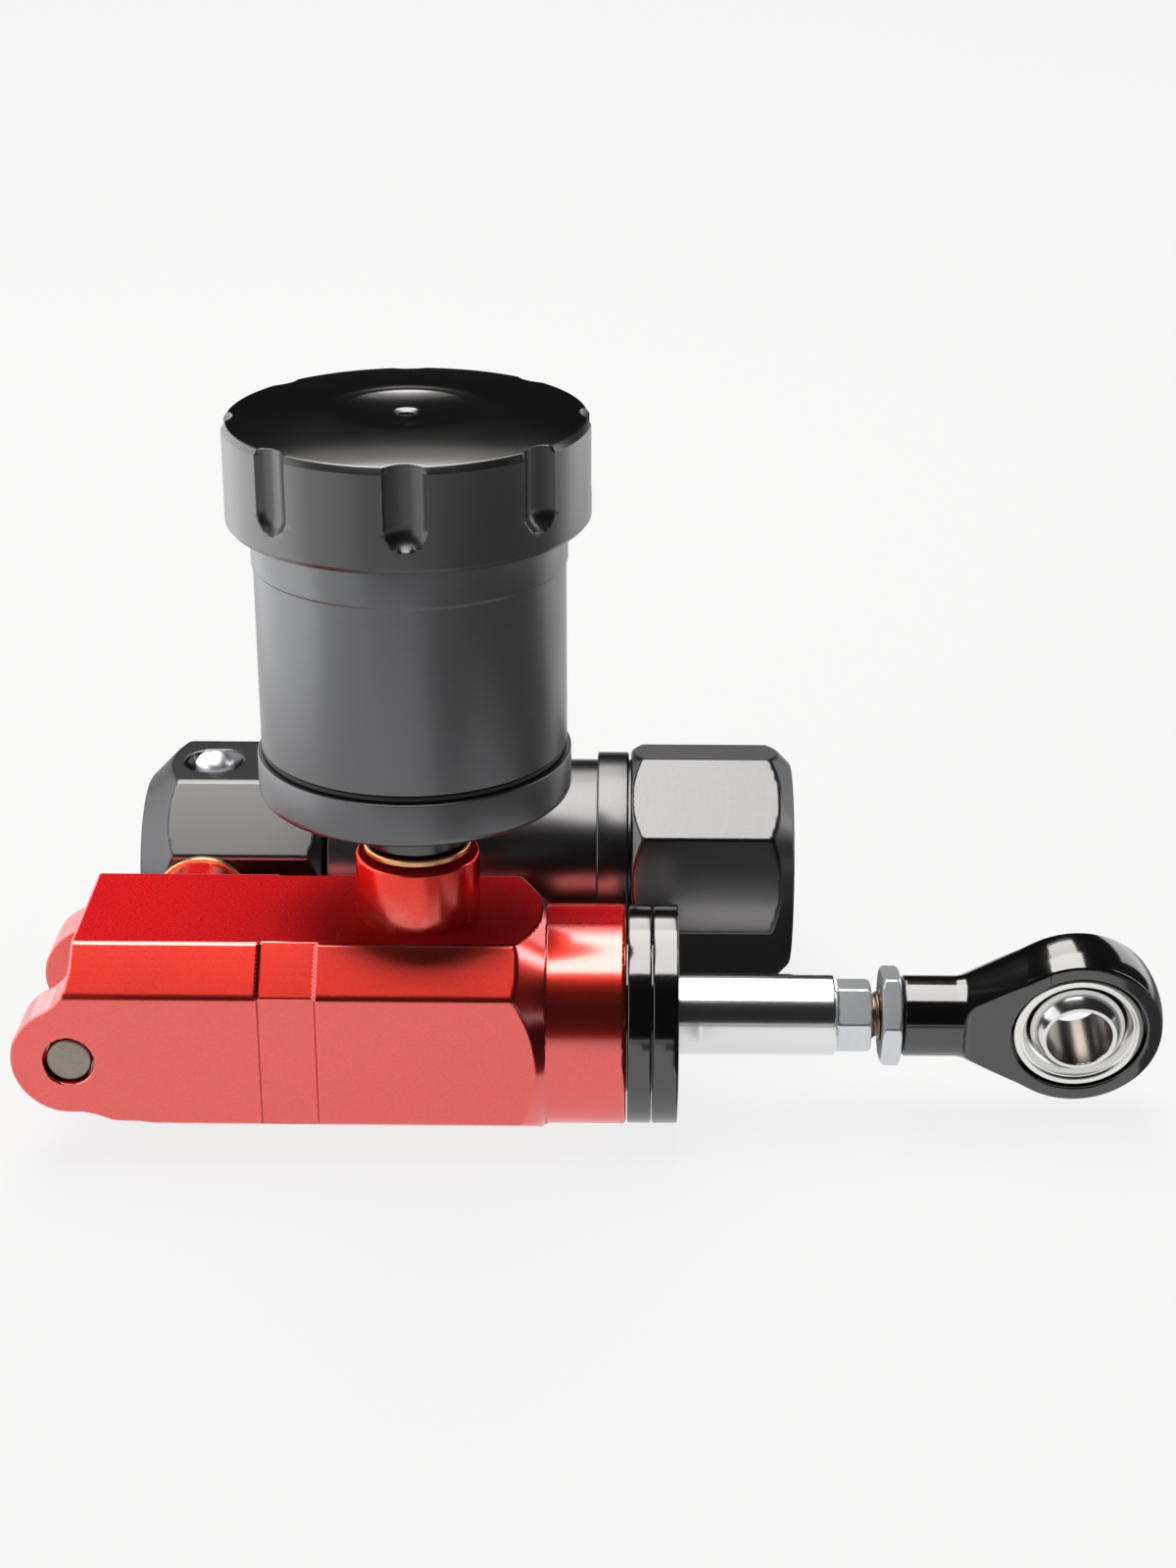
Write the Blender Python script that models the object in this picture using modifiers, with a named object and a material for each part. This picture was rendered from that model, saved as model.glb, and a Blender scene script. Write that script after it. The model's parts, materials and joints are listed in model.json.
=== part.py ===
"""Hydraulic brake cylinder unit: a master cylinder with its reservoir, feeding a slave cylinder beside it.

Sizes are in millimetres and the scene is in metres, +Z up. X runs along the master bore towards the
pushrod, Y from the master to the slave. The origin is on the foot of the master body, straight under
the point where the reservoir's axis meets the bore's axis. Heights named _RISE or _TOP are measured
from the bore's axis, and distances named _BACK are measured from the reservoir's axis towards -X.
"""
import math

import bmesh
import bpy
from mathutils import Matrix, Vector

MM = 0.001
CLEARANCE = 0.3          # gap between pieces that seat on each other
SEAL_GAP = 0.15          # gap on each side of a thin seal that shows as a line
EDGE = 0.4               # broken edge on turned pieces
ROUND = 18               # facets around a small turned piece
ROUND_LARGE = 28         # facets around a large turned piece
ROUND_CAP = 40           # facets around the fluted cap
ROUND_FLUTE = 14         # facets around the cutter of one flute
ARC = 5                  # points in a quarter of a small arc
OVERCUT = 1.0            # how far a cutter reaches past the face that it cuts

# Master body
BODY_HALF_WIDTH = 14.75
BODY_TOP = 14.2
TOP_CHAMFER = 5.0
SIDE_DROP = 7.6
BODY_BOTTOM = 13.8
FOOT_HALF_WIDTH = 4.3
WALL_BACK = 41.0
NECK_FILLET = 6.0
PIN_BACK = 41.3
PIN_RISE = 0.6
PIN_RADIUS = 2.75
PIN_RECESS = 0.4
LUG_RADIUS = 7.0
HEEL_BACK = 33.6
HEEL_RUN = 3.4
FORK_GAP = 15.5
TANG_RADIUS = 5.6
SLOT_RADIUS = 19.5
NOSE_RADIUS = 13.6
NOSE_FRONT = 25.4
SHOULDER_FRONT = 15.65
BAND_BACK = 18.4
BAND_WIDTH = 6.8
BAND_DEPTH = 0.5

# Master bore, piston and gland
BORE_RADIUS = 8.0
BORE_BACK = 31.2
STROKE = 12.0
GLAND_BORE_RADIUS = 10.0
GLAND_BORE_DEPTH = 4.6
GLAND_RADIUS = 13.5
LOCK_RING_LENGTH = 2.7
GLAND_FLANGE = 3.0
RING_BEVEL = 0.35
BUSH_WALL = 0.9
WIPER_WALL = 1.4
WIPER_POCKET = 2.4
PISTON_STUB_RADIUS = 4.0
CUP_LENGTH = 3.2
SEAT_THICKNESS = 1.2
SEAT_RADIUS = 7.0
FLANGE_LENGTH = 2.4
SOCKET_DEPTH = 7.4
SPRING_WIRE = 1.4
SPRING_RADIUS = 5.4
SPRING_TURNS = 7
O_RING_WIRE = 1.0

# Pushrod and rod end
ROD_RADIUS = 5.0
ROD_SHOWING = 19.65
HEX_NECK_FLATS = 8.0
HEX_NECK_LENGTH = 4.15
STUB_RADIUS = 3.0
STUB_SHOWING = 1.2
NUT_FLATS = 11.0
NUT_THICKNESS = 2.4
SHANK_RADIUS = 5.0
SHANK_LENGTH = 7.2
EYE_REACH = 21.5
EYE_RADIUS = 10.6
EYE_THICKNESS = 7.6
FLAT_RUN = 1.5
RACE_RADIUS = 8.0
RACE_WIDTH = 7.0
RACE_LAND = 0.9
RACE_SEAT = 4.8
BALL_RADIUS = 6.4
BALL_WIDTH = 9.0
BALL_BORE_RADIUS = 4.0
ROD_END_ROLL = 9.5
HEX_ROLL = -10.0

# Reservoir
BOSS_RADIUS = 7.5
BOSS_HEIGHT = 8.0
STEM_RADIUS = 3.9
STEM_BORE_RADIUS = 2.2
STEM_DEPTH = 8.8
STEM_COLLAR_RADIUS = 6.2
STEM_COLLAR_HEIGHT = 7.1
FEED_RADIUS = 1.2
WASHER_RADIUS = 6.5
WASHER_THICKNESS = 1.0
BASE_RADIUS = 18.65
BASE_HEIGHT = 4.8
BASE_FLOOR = 3.6
BASE_ROUND = 1.0
BASE_LIP = 5.0
TUBE_WALL = 2.2
TUBE_HEIGHT = 27.1
TUBE_WAIST = 0.5
TUBE_FOOT = 0.7
TUBE_BAND = 4.4
BASE_RING = 0.55
NUT_HEIGHT = 2.6
STEM_NUT_FLATS = 13.0
NECK_RADIUS = 17.0
NECK_HEIGHT = 8.2
CAP_RADIUS = 21.15
CAP_SKIRT_GAP = 0.45
CAP_HEIGHT = 12.15
CAP_DOME = 1.25
CAP_EDGE = 0.6
DISH_RADIUS = 8.5
DISH_DEPTH = 0.9
VENT_RADIUS = 1.25
FLUTES = 8
FLUTE_RADIUS = 3.0
FLUTE_DEPTH = 1.4
FLUTE_LAND = 2.25
FLUTE_TURN = 3.4
CAP_RING = 0.6
DIAPHRAGM_WALL = 1.0
DIAPHRAGM_DEPTH = 11.0
SLIP_RING = 0.8

# Side port
PORT_BACK = 30.0
PORT_RISE = 4.0
PORT_GAP = 8.6
PORT_BOSS_RADIUS = 6.1
NIPPLE_RADIUS = 3.9
NIPPLE_BORE_RADIUS = 1.6
NIPPLE_GRIP = 4.6
NIPPLE_SEAT = 3.4

# Slave cylinder
SLAVE_RISE = 3.05
BLOCK_HALF_WIDTH = 14.65
BLOCK_TOP_FLAT = 14.1
BLOCK_OVERHANG = 9.0
BLOCK_LENGTH = 24.5
BLOCK_END_WALL = 6.0
BLOCK_CONE = 3.2
SPIGOT_LENGTH = 6.0
SLAVE_BORE_RADIUS = 10.0
SLAVE_TUBE_RADIUS = 14.0
SLAVE_TUBE_WALL = 2.2
TUBE_SHOWING = 35.5
SLAVE_RING_WALL = 1.0
SLAVE_RING_LENGTH = 4.2
SLAVE_CAP_SIDE = 1.3
SLAVE_CAP_LENGTH = 21.5
SLAVE_CAP_WALL = 3.8
SLAVE_CAP_CONE = 1.8
SLAVE_CAP_ROLL = -13.1
SLAVE_THREAD = 14.0
SLAVE_HEAD_LENGTH = 8.2
SLAVE_ROD_RADIUS = 4.5
PUSHER_LENGTH = 4.0
PUSHER_BACK = 4.0
STACK_WASHER = 2.0
ELASTOMER_WALL = 5.6
GUIDE_RADIUS = 4.2
GUIDE_SEAT = 2.0
GUIDE_RESERVE = 2.0
BLEED_RADIUS = 2.6
BLEED_DOME_RADIUS = 3.0
BLEED_RISE = 1.4
BLEED_SINK_RADIUS = 3.9
BLEED_SINK_DEPTH = 1.6
BLEED_THREAD = 2.2

# Places worked out from the sizes
AXIS_Z = BODY_BOTTOM
PIN_X = -PIN_BACK
PIN_Z = AXIS_Z + PIN_RISE
BODY_TOP_Z = AXIS_Z + BODY_TOP
GLAND_BORE_X = NOSE_FRONT - GLAND_BORE_DEPTH
LOCK_RING_X = NOSE_FRONT + CLEARANCE
GLAND_X = LOCK_RING_X + LOCK_RING_LENGTH + CLEARANCE
GLAND_FACE_X = GLAND_X + GLAND_FLANGE
GLAND_SPIGOT_X = GLAND_BORE_X + CLEARANCE
PISTON_FACE_X = GLAND_SPIGOT_X - CLEARANCE
CUP_X = FEED_RADIUS
HEX_X = GLAND_FACE_X + ROD_SHOWING
STUB_X = HEX_X + HEX_NECK_LENGTH
NUT_X = STUB_X + STUB_SHOWING
SHANK_X = NUT_X + NUT_THICKNESS + CLEARANCE
EYE_X = SHANK_X + EYE_REACH
BOSS_TOP_Z = BODY_TOP_Z + BOSS_HEIGHT
WASHER_Z = BOSS_TOP_Z + CLEARANCE
COLLAR_Z = WASHER_Z + WASHER_THICKNESS + CLEARANCE
BASE_Z = COLLAR_Z + STEM_COLLAR_HEIGHT + CLEARANCE
BASE_TOP_Z = BASE_Z + BASE_HEIGHT
TUBE_Z = BASE_TOP_Z + BASE_RING + 2 * SEAL_GAP
TUBE_TOP_Z = TUBE_Z + TUBE_HEIGHT
NECK_TOP_Z = TUBE_TOP_Z + NECK_HEIGHT
CAP_Z = TUBE_TOP_Z + 2 * SEAL_GAP
CAP_TOP_Z = CAP_Z + CAP_HEIGHT
DIAPHRAGM_Z = NECK_TOP_Z + CLEARANCE
SLIP_RING_Z = DIAPHRAGM_Z + DIAPHRAGM_WALL + CLEARANCE
CEILING_Z = SLIP_RING_Z + SLIP_RING + CLEARANCE
PORT_X = -PORT_BACK
PORT_Z = AXIS_Z + PORT_RISE
BLOCK_FACE_Y = BODY_HALF_WIDTH + PORT_GAP
SLAVE_Y = BLOCK_FACE_Y + BLOCK_HALF_WIDTH
SLAVE_Z = AXIS_Z + SLAVE_RISE
PORT_WASHER_Y = BLOCK_FACE_Y - CLEARANCE - WASHER_THICKNESS
PORT_BOSS_Y = PORT_WASHER_Y - CLEARANCE
BLOCK_LEFT_X = PORT_X - BLOCK_OVERHANG
BLOCK_RIGHT_X = BLOCK_LEFT_X + BLOCK_LENGTH
SLAVE_BORE_X = BLOCK_LEFT_X + BLOCK_END_WALL
SLAVE_TUBE_X = BLOCK_RIGHT_X + CLEARANCE
SLAVE_RING_X = SLAVE_TUBE_X + TUBE_SHOWING
SLAVE_CAP_X = SLAVE_RING_X + SLAVE_RING_LENGTH + CLEARANCE
SLAVE_CAP_END_X = SLAVE_CAP_X + SLAVE_CAP_LENGTH
SLAVE_WALL_X = SLAVE_CAP_END_X - SLAVE_CAP_WALL
SLAVE_TUBE_END_X = SLAVE_CAP_X + SLAVE_THREAD
TUBE_INSIDE = SLAVE_TUBE_RADIUS - SLAVE_TUBE_WALL
SLAVE_RING_RADIUS = SLAVE_TUBE_RADIUS + SLAVE_RING_WALL
SLAVE_CAP_FLATS = 2 * (SLAVE_TUBE_RADIUS + SLAVE_CAP_SIDE)
SLAVE_HEAD_X = PORT_X + NIPPLE_BORE_RADIUS + CLEARANCE
SPIGOT_END_X = BLOCK_RIGHT_X + SPIGOT_LENGTH
PUSHER_X = SPIGOT_END_X + PUSHER_BACK
STACK_X = PUSHER_X + PUSHER_LENGTH
SLAVE_STROKE = STROKE * (BORE_RADIUS / SLAVE_BORE_RADIUS) ** 2
ELASTOMER_LENGTH = (SLAVE_WALL_X - STACK_X - STACK_WASHER - 4 * CLEARANCE) / 2
WASHER_X = STACK_X + ELASTOMER_LENGTH + 2 * CLEARANCE
BLOCK_TOP_Z = SLAVE_Z + BLOCK_HALF_WIDTH

MASTER_AXIS = (0.0, 0.0, AXIS_Z)
SLAVE_AXIS = (0.0, SLAVE_Y, SLAVE_Z)
FINISHES = {
    "red_anodised": ((0.62, 0.02, 0.02), 0.35, 0.7),
    "black_anodised": ((0.02, 0.02, 0.022), 0.3, 0.6),
    "grey_anodised": ((0.09, 0.095, 0.1), 0.38, 0.7),
    "satin_black": ((0.035, 0.035, 0.037), 0.45, 0.5),
    "chrome": ((0.8, 0.8, 0.82), 0.08, 1.0),
    "steel": ((0.45, 0.44, 0.42), 0.35, 1.0),
    "copper": ((0.75, 0.38, 0.18), 0.3, 1.0),
    "bronze": ((0.55, 0.4, 0.22), 0.35, 1.0),
    "aluminium": ((0.65, 0.66, 0.68), 0.3, 1.0),
    "rubber": ((0.02, 0.02, 0.02), 0.75, 0.0),
    "silicone": ((0.55, 0.1, 0.04), 0.6, 0.0),
    "polyurethane": ((0.55, 0.3, 0.03), 0.45, 0.0),
}

for old in list(bpy.data.objects):
    bpy.data.objects.remove(old)
PARTS = bpy.data.collections.new("brake_cylinder_unit")
CUTTERS = bpy.data.collections.new("cutters")
bpy.context.scene.collection.children.link(PARTS)
bpy.context.scene.collection.children.link(CUTTERS)
TURNS = {
    "X": Matrix(((0, 0, 1), (1, 0, 0), (0, 1, 0))),
    "Y": Matrix(((1, 0, 0), (0, 0, 1), (0, -1, 0))),
    "-Y": Matrix(((1, 0, 0), (0, 0, -1), (0, 1, 0))),
    "Z": Matrix.Identity(3),
}


def finish_material(finish):
    """A Principled material for one of the finishes, made once."""
    if finish in bpy.data.materials:
        return bpy.data.materials[finish]
    colour, roughness, metallic = FINISHES[finish]
    made = bpy.data.materials.new(finish)
    made.use_nodes = True
    shader = made.node_tree.nodes["Principled BSDF"]
    shader.inputs["Base Color"].default_value = (*colour, 1.0)
    shader.inputs["Roughness"].default_value = roughness
    shader.inputs["Metallic"].default_value = metallic
    return made


def place(name, data, finish, along="Z", at=(0, 0, 0), parent=None):
    """Link an object; with no finish it is a cutter, which isn't drawn."""
    piece = bpy.data.objects.new(name, data)
    piece.location = Vector(at) * MM
    piece.rotation_euler = TURNS[along].to_euler()
    if finish is None:
        CUTTERS.objects.link(piece)
        piece.hide_render = True
        piece.display_type = "WIRE"
    else:
        PARTS.objects.link(piece)
        data.materials.append(finish_material(finish))
    if parent is not None:
        piece.parent = parent
    return piece


def turned(name, profile, finish, along="Z", at=(0, 0, 0), steps=ROUND, parent=None):
    """Turn a profile of (radius, height) points; it runs down its outer side.

    A profile that stays off the axis is closed into a ring.
    """
    mesh = bpy.data.meshes.new(name)
    points = [(radius * MM, 0, height * MM) for radius, height in profile]
    edges = [(i, i + 1) for i in range(len(points) - 1)]
    if min(radius for radius, height in profile) > 0:
        edges.append((len(points) - 1, 0))
    mesh.from_pydata(points, edges, [])
    piece = place(name, mesh, finish, along, at, parent)
    screw = piece.modifiers.new("turn", "SCREW")
    screw.steps = steps
    screw.render_steps = steps
    screw.use_merge_vertices = True
    screw.merge_threshold = 0.000001
    screw.use_smooth_shade = True
    return piece


def extruded(name, outlines, low, high, finish, along="Z", at=(0, 0, 0), parent=None):
    """Extrude flat outlines (the first is the outside, the rest are holes) from low to high."""
    curve = bpy.data.curves.new(name + "_outline", "CURVE")
    curve.dimensions = "2D"
    curve.fill_mode = "BOTH"
    curve.extrude = (high - low) / 2 * MM
    for outline in outlines:
        spline = curve.splines.new("POLY")
        spline.points.add(len(outline) - 1)
        for point, (across, up) in zip(spline.points, outline):
            point.co = (across * MM, up * MM, 0, 1)
        spline.use_cyclic_u = True
    guide = bpy.data.objects.new(name + "_outline", curve)
    bpy.context.scene.collection.objects.link(guide)
    bpy.context.view_layer.update()
    evaluated = guide.evaluated_get(bpy.context.evaluated_depsgraph_get())
    mesh = bpy.data.meshes.new_from_object(evaluated)
    bpy.data.objects.remove(guide)
    solid = bmesh.new()
    solid.from_mesh(mesh)
    bmesh.ops.remove_doubles(solid, verts=solid.verts, dist=0.000001)
    bmesh.ops.translate(solid, verts=solid.verts, vec=(0, 0, (low + high) / 2 * MM))
    bmesh.ops.recalc_face_normals(solid, faces=solid.faces)
    solid.to_mesh(mesh)
    solid.free()
    mesh.materials.clear()
    return place(name, mesh, finish, along, at, parent)


def combine(piece, other, operation="DIFFERENCE"):
    """Cut, join or trim a piece by another object."""
    step = piece.modifiers.new(other.name, "BOOLEAN")
    step.operation = operation
    step.object = other


def arc(centre, radius, start, end, points=ARC):
    """Points along an arc, with angles in degrees."""
    angles = [math.radians(start + (end - start) * i / (points - 1)) for i in range(points)]
    return [(centre[0] + radius * math.cos(a), centre[1] + radius * math.sin(a)) for a in angles]


def ring(inner, outer, low, high, bevel=0.0):
    """Closed profile of a plain ring, with its outer edges bevelled."""
    if not bevel:
        return [(outer, high), (outer, low), (inner, low), (inner, high)]
    return [(outer - bevel, high), (outer, high - bevel), (outer, low + bevel),
            (outer - bevel, low), (inner, low), (inner, high)]


def rod(radius, low, high, bevel=0.0):
    """Profile of a plain round bar, with its ends bevelled."""
    return [(0, high), (radius - bevel, high), (radius, high - bevel),
            (radius, low + bevel), (radius - bevel, low), (0, low)]


def polygon(sides, flats, roll=0.0):
    """Corners of a regular polygon by its width across flats; a flat faces up at no roll."""
    corner = flats / 2 / math.cos(math.pi / sides)
    angles = [math.radians(90 + roll) + math.pi * (2 * i + 1) / sides for i in range(sides)]
    return [(corner * math.cos(a), corner * math.sin(a)) for a in angles]


def chamfered_box(half_width, top, bottom, chamfer):
    """Section of a bar with all four long edges chamfered."""
    inner = half_width - chamfer
    return [(inner, top), (half_width, top - chamfer), (half_width, bottom + chamfer), (inner, bottom),
            (-inner, bottom), (-half_width, bottom + chamfer), (-half_width, top - chamfer), (-inner, top)]


def body_section(inset=0.0):
    """Cross section of the master body in Y and height over the bore's axis, drawn in by an inset."""
    half = BODY_HALF_WIDTH - inset
    top = BODY_TOP - inset
    flat = BODY_HALF_WIDTH - TOP_CHAMFER - inset * math.tan(math.radians(22.5))
    shoulder = BODY_TOP - TOP_CHAMFER - inset * math.tan(math.radians(22.5))
    right = [(flat, top), (half, shoulder), (half, -SIDE_DROP), (FOOT_HALF_WIDTH, inset - BODY_BOTTOM)]
    return right + [(-across, up) for across, up in reversed(right)]


def fork_outline():
    """Side outline of the fork end in X and height over the bore's axis, open to the right."""
    far_right = NOSE_FRONT + LUG_RADIUS
    high = BODY_TOP + LUG_RADIUS
    low = -BODY_BOTTOM - LUG_RADIUS
    reach = LUG_RADIUS + NECK_FILLET
    fillet_x = -WALL_BACK - NECK_FILLET
    fillet_z = PIN_RISE + math.sqrt(reach ** 2 - (fillet_x - PIN_X) ** 2)
    meet = math.degrees(math.atan2(fillet_z - PIN_RISE, fillet_x - PIN_X))
    neck = arc((fillet_x, fillet_z), NECK_FILLET, 0, meet - 180)
    lug = arc((PIN_X, PIN_RISE), LUG_RADIUS, meet, 270, 3 * ARC)
    drop = SIDE_DROP - LUG_RADIUS + PIN_RISE
    heel = []
    for i in range(ARC):
        share = i / (ARC - 1)
        ease = (1 - math.cos(math.pi * share)) / 2
        heel.append((-HEEL_BACK - HEEL_RUN * (1 - share), PIN_RISE - LUG_RADIUS - drop * ease))
    toe = arc((-HEEL_BACK, -SIDE_DROP - HEEL_RUN), HEEL_RUN, 90, 0)
    return ([(far_right, high), (-WALL_BACK, high)] + neck + lug[1:] + heel + toe[1:]
            + [(HEEL_RUN - HEEL_BACK, low), (far_right, low)])


def make_master_body():
    """Red bar with its fork, turned nose, bosses and bores."""
    body = extruded("master_body", [body_section()], PIN_X - 2 * LUG_RADIUS, NOSE_FRONT,
                    "red_anodised", "X", MASTER_AXIS)
    side = extruded("fork_side", [fork_outline()], -2 * BODY_HALF_WIDTH, 2 * BODY_HALF_WIDTH, None,
                    "-Y", MASTER_AXIS)
    combine(body, side, "INTERSECT")
    wide = 2 * BODY_HALF_WIDTH
    envelope = turned("nose_envelope", [
        (0, NOSE_FRONT + EDGE), (NOSE_RADIUS - 2 * EDGE, NOSE_FRONT + EDGE), (NOSE_RADIUS, NOSE_FRONT - EDGE),
        (NOSE_RADIUS, SHOULDER_FRONT), (wide, SHOULDER_FRONT + NOSE_RADIUS - wide),
        (wide, PIN_X - 3 * LUG_RADIUS), (0, PIN_X - 3 * LUG_RADIUS)], None, "X", MASTER_AXIS, ROUND_LARGE)
    combine(body, envelope, "INTERSECT")
    outer = [(wide, wide), (-wide, wide), (-wide, -wide), (wide, -wide)]
    combine(body, extruded("body_band", [outer, body_section(BAND_DEPTH)], -BAND_BACK,
                           BAND_WIDTH - BAND_BACK, None, "X", MASTER_AXIS))
    boss = turned("reservoir_boss", rod(BOSS_RADIUS, AXIS_Z + BORE_RADIUS, BOSS_TOP_Z, EDGE), None,
                  steps=ROUND_LARGE)
    combine(body, boss, "UNION")
    port_boss = turned("port_boss", rod(PORT_BOSS_RADIUS, BORE_RADIUS, PORT_BOSS_Y, EDGE), None, "Y",
                       (PORT_X, 0, PORT_Z))
    combine(body, port_boss, "UNION")
    combine(body, turned("master_bore", [
        (0, 2 * NOSE_FRONT), (GLAND_BORE_RADIUS, 2 * NOSE_FRONT), (GLAND_BORE_RADIUS, GLAND_BORE_X),
        (BORE_RADIUS, GLAND_BORE_X), (BORE_RADIUS, -BORE_BACK), (0, -BORE_BACK)], None, "X", MASTER_AXIS,
        ROUND_LARGE))
    combine(body, turned("stem_hole", [
        (0, 2 * BOSS_TOP_Z), (STEM_RADIUS + CLEARANCE, 2 * BOSS_TOP_Z),
        (STEM_RADIUS + CLEARANCE, BOSS_TOP_Z - STEM_DEPTH - CLEARANCE),
        (FEED_RADIUS, BOSS_TOP_Z - STEM_DEPTH - CLEARANCE), (FEED_RADIUS, AXIS_Z), (0, AXIS_Z)], None))
    grip_y = PORT_BOSS_Y - NIPPLE_GRIP - CLEARANCE
    combine(body, turned("master_port", [
        (0, 2 * PORT_BOSS_Y), (NIPPLE_RADIUS + CLEARANCE, 2 * PORT_BOSS_Y),
        (NIPPLE_RADIUS + CLEARANCE, grip_y), (NIPPLE_BORE_RADIUS, grip_y), (NIPPLE_BORE_RADIUS, 0), (0, 0)],
        None, "Y", (PORT_X, 0, PORT_Z)))
    slot_x = PIN_X + TANG_RADIUS - SLOT_RADIUS
    lean = math.degrees(math.asin((BODY_TOP + OVERCUT - PIN_RISE) / SLOT_RADIUS))
    end = arc((slot_x, PIN_RISE), SLOT_RADIUS, lean, -lean, 2 * ARC)
    slot = extruded("fork_slot", [[(2 * PIN_X, end[0][1])] + end + [(2 * PIN_X, end[-1][1])]],
                    -FORK_GAP / 2, FORK_GAP / 2, None, "-Y", MASTER_AXIS)
    combine(body, slot)
    combine(body, turned("pin_hole", rod(PIN_RADIUS + CLEARANCE, -wide, wide), None, "Y", (PIN_X, 0, PIN_Z)))
    half_pin = BODY_HALF_WIDTH - PIN_RECESS
    turned("clevis_pin", rod(PIN_RADIUS, -half_pin, half_pin, EDGE), "steel", "Y", (PIN_X, 0, PIN_Z))


def make_gland():
    """Lock ring and gland nut on the nose, with the seals and the bush that guide the rod."""
    spigot = GLAND_BORE_RADIUS - CLEARANCE
    turned("gland_lock_ring", ring(GLAND_BORE_RADIUS, GLAND_RADIUS, LOCK_RING_X,
                                   LOCK_RING_X + LOCK_RING_LENGTH, RING_BEVEL),
           "black_anodised", "X", MASTER_AXIS, ROUND_LARGE)
    bush_bore = ROD_RADIUS + CLEARANCE + BUSH_WALL + CLEARANCE
    pocket = ROD_RADIUS + CLEARANCE + WIPER_WALL + CLEARANCE
    pocket_x = GLAND_FACE_X - WIPER_POCKET
    lip = ROD_RADIUS + 2 * CLEARANCE
    groove_x = GLAND_SPIGOT_X + O_RING_WIRE
    groove_end = groove_x + O_RING_WIRE + 2 * CLEARANCE
    groove = GLAND_BORE_RADIUS - O_RING_WIRE - 2 * CLEARANCE
    turned("gland_nut", [
        (GLAND_RADIUS - RING_BEVEL, GLAND_FACE_X), (GLAND_RADIUS, GLAND_FACE_X - RING_BEVEL),
        (GLAND_RADIUS, GLAND_X + RING_BEVEL), (GLAND_RADIUS - RING_BEVEL, GLAND_X), (spigot, GLAND_X),
        (spigot, groove_end), (groove, groove_end), (groove, groove_x), (spigot, groove_x),
        (spigot, GLAND_SPIGOT_X), (bush_bore, GLAND_SPIGOT_X), (bush_bore, GLAND_X), (lip, GLAND_X),
        (lip, pocket_x), (pocket, pocket_x), (pocket, GLAND_FACE_X)],
        "black_anodised", "X", MASTER_AXIS, ROUND_LARGE)
    seal_r = O_RING_WIRE / 2
    seal = arc((GLAND_BORE_RADIUS - CLEARANCE - seal_r, groove_x + CLEARANCE + seal_r), seal_r, 90, -225, 8)
    turned("gland_o_ring", seal, "rubber", "X", MASTER_AXIS)
    bush = ring(ROD_RADIUS + CLEARANCE, bush_bore - CLEARANCE, GLAND_SPIGOT_X + CLEARANCE,
                GLAND_X - CLEARANCE)
    turned("rod_guide_bush", bush, "bronze", "X", MASTER_AXIS)
    turned("rod_wiper", ring(ROD_RADIUS + CLEARANCE, pocket - CLEARANCE, pocket_x + CLEARANCE,
                             GLAND_FACE_X - CLEARANCE, EDGE), "rubber", "X", MASTER_AXIS)


def make_piston():
    """Master piston with its cups, spring seat and return spring."""
    skirt = BORE_RADIUS - CLEARANCE
    seat_x = CUP_X - CLEARANCE - SEAT_THICKNESS
    flange_x = CUP_X + CUP_LENGTH + CLEARANCE
    groove_end = PISTON_FACE_X - FLANGE_LENGTH
    groove_x = groove_end - CUP_LENGTH - 2 * CLEARANCE
    waist = skirt - FLANGE_LENGTH
    socket = STUB_RADIUS + CLEARANCE
    socket_x = PISTON_FACE_X - SOCKET_DEPTH
    turned("piston", [
        (0, socket_x), (socket, socket_x), (socket, PISTON_FACE_X), (skirt - EDGE, PISTON_FACE_X),
        (skirt, PISTON_FACE_X - EDGE), (skirt, groove_end), (waist, groove_end), (waist, groove_x),
        (skirt, groove_x), (skirt, groove_x - FLANGE_LENGTH), (waist, groove_x - FLANGE_LENGTH),
        (waist, flange_x + FLANGE_LENGTH), (skirt, flange_x + FLANGE_LENGTH), (skirt, flange_x),
        (PISTON_STUB_RADIUS, flange_x), (PISTON_STUB_RADIUS, seat_x), (0, seat_x)],
        "aluminium", "X", MASTER_AXIS)
    cup_bore = PISTON_STUB_RADIUS + CLEARANCE
    turned("primary_cup", ring(cup_bore, skirt, CUP_X, CUP_X + CUP_LENGTH, EDGE), "rubber", "X", MASTER_AXIS)
    turned("spring_seat", ring(cup_bore, SEAT_RADIUS, seat_x, seat_x + SEAT_THICKNESS), "steel", "X",
           MASTER_AXIS)
    second = ring(waist + CLEARANCE, skirt, groove_x + CLEARANCE, groove_end - CLEARANCE, EDGE)
    turned("secondary_cup", second, "rubber", "X", MASTER_AXIS)
    make_spring(-BORE_BACK + CLEARANCE, seat_x - CLEARANCE)


def make_spring(low, high):
    """Return spring between the bore's end and the spring seat, as one wound wire."""
    points = []
    per_turn = 10
    wire = SPRING_WIRE / 2
    count = SPRING_TURNS * per_turn
    rise = (high - low - SPRING_WIRE) / SPRING_TURNS
    for i in range(count + 1):
        angle = 2 * math.pi * i / per_turn
        along = low + wire + rise * i / per_turn
        points.append(Vector((SPRING_RADIUS * math.cos(angle), SPRING_RADIUS * math.sin(angle), along)))
    near = min((a - b).length for i, a in enumerate(points) for b in points[i + per_turn // 2:])
    print("return spring: least gap between curls", round(near - SPRING_WIRE, 2), "mm")
    curve = bpy.data.curves.new("return_spring", "CURVE")
    curve.dimensions = "3D"
    curve.bevel_depth = wire * MM
    curve.bevel_resolution = 1
    curve.use_fill_caps = True
    spline = curve.splines.new("POLY")
    spline.points.add(count)
    for point, spot in zip(spline.points, points):
        point.co = (*(spot * MM), 1)
    place("return_spring", curve, "steel", "X", MASTER_AXIS)


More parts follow.
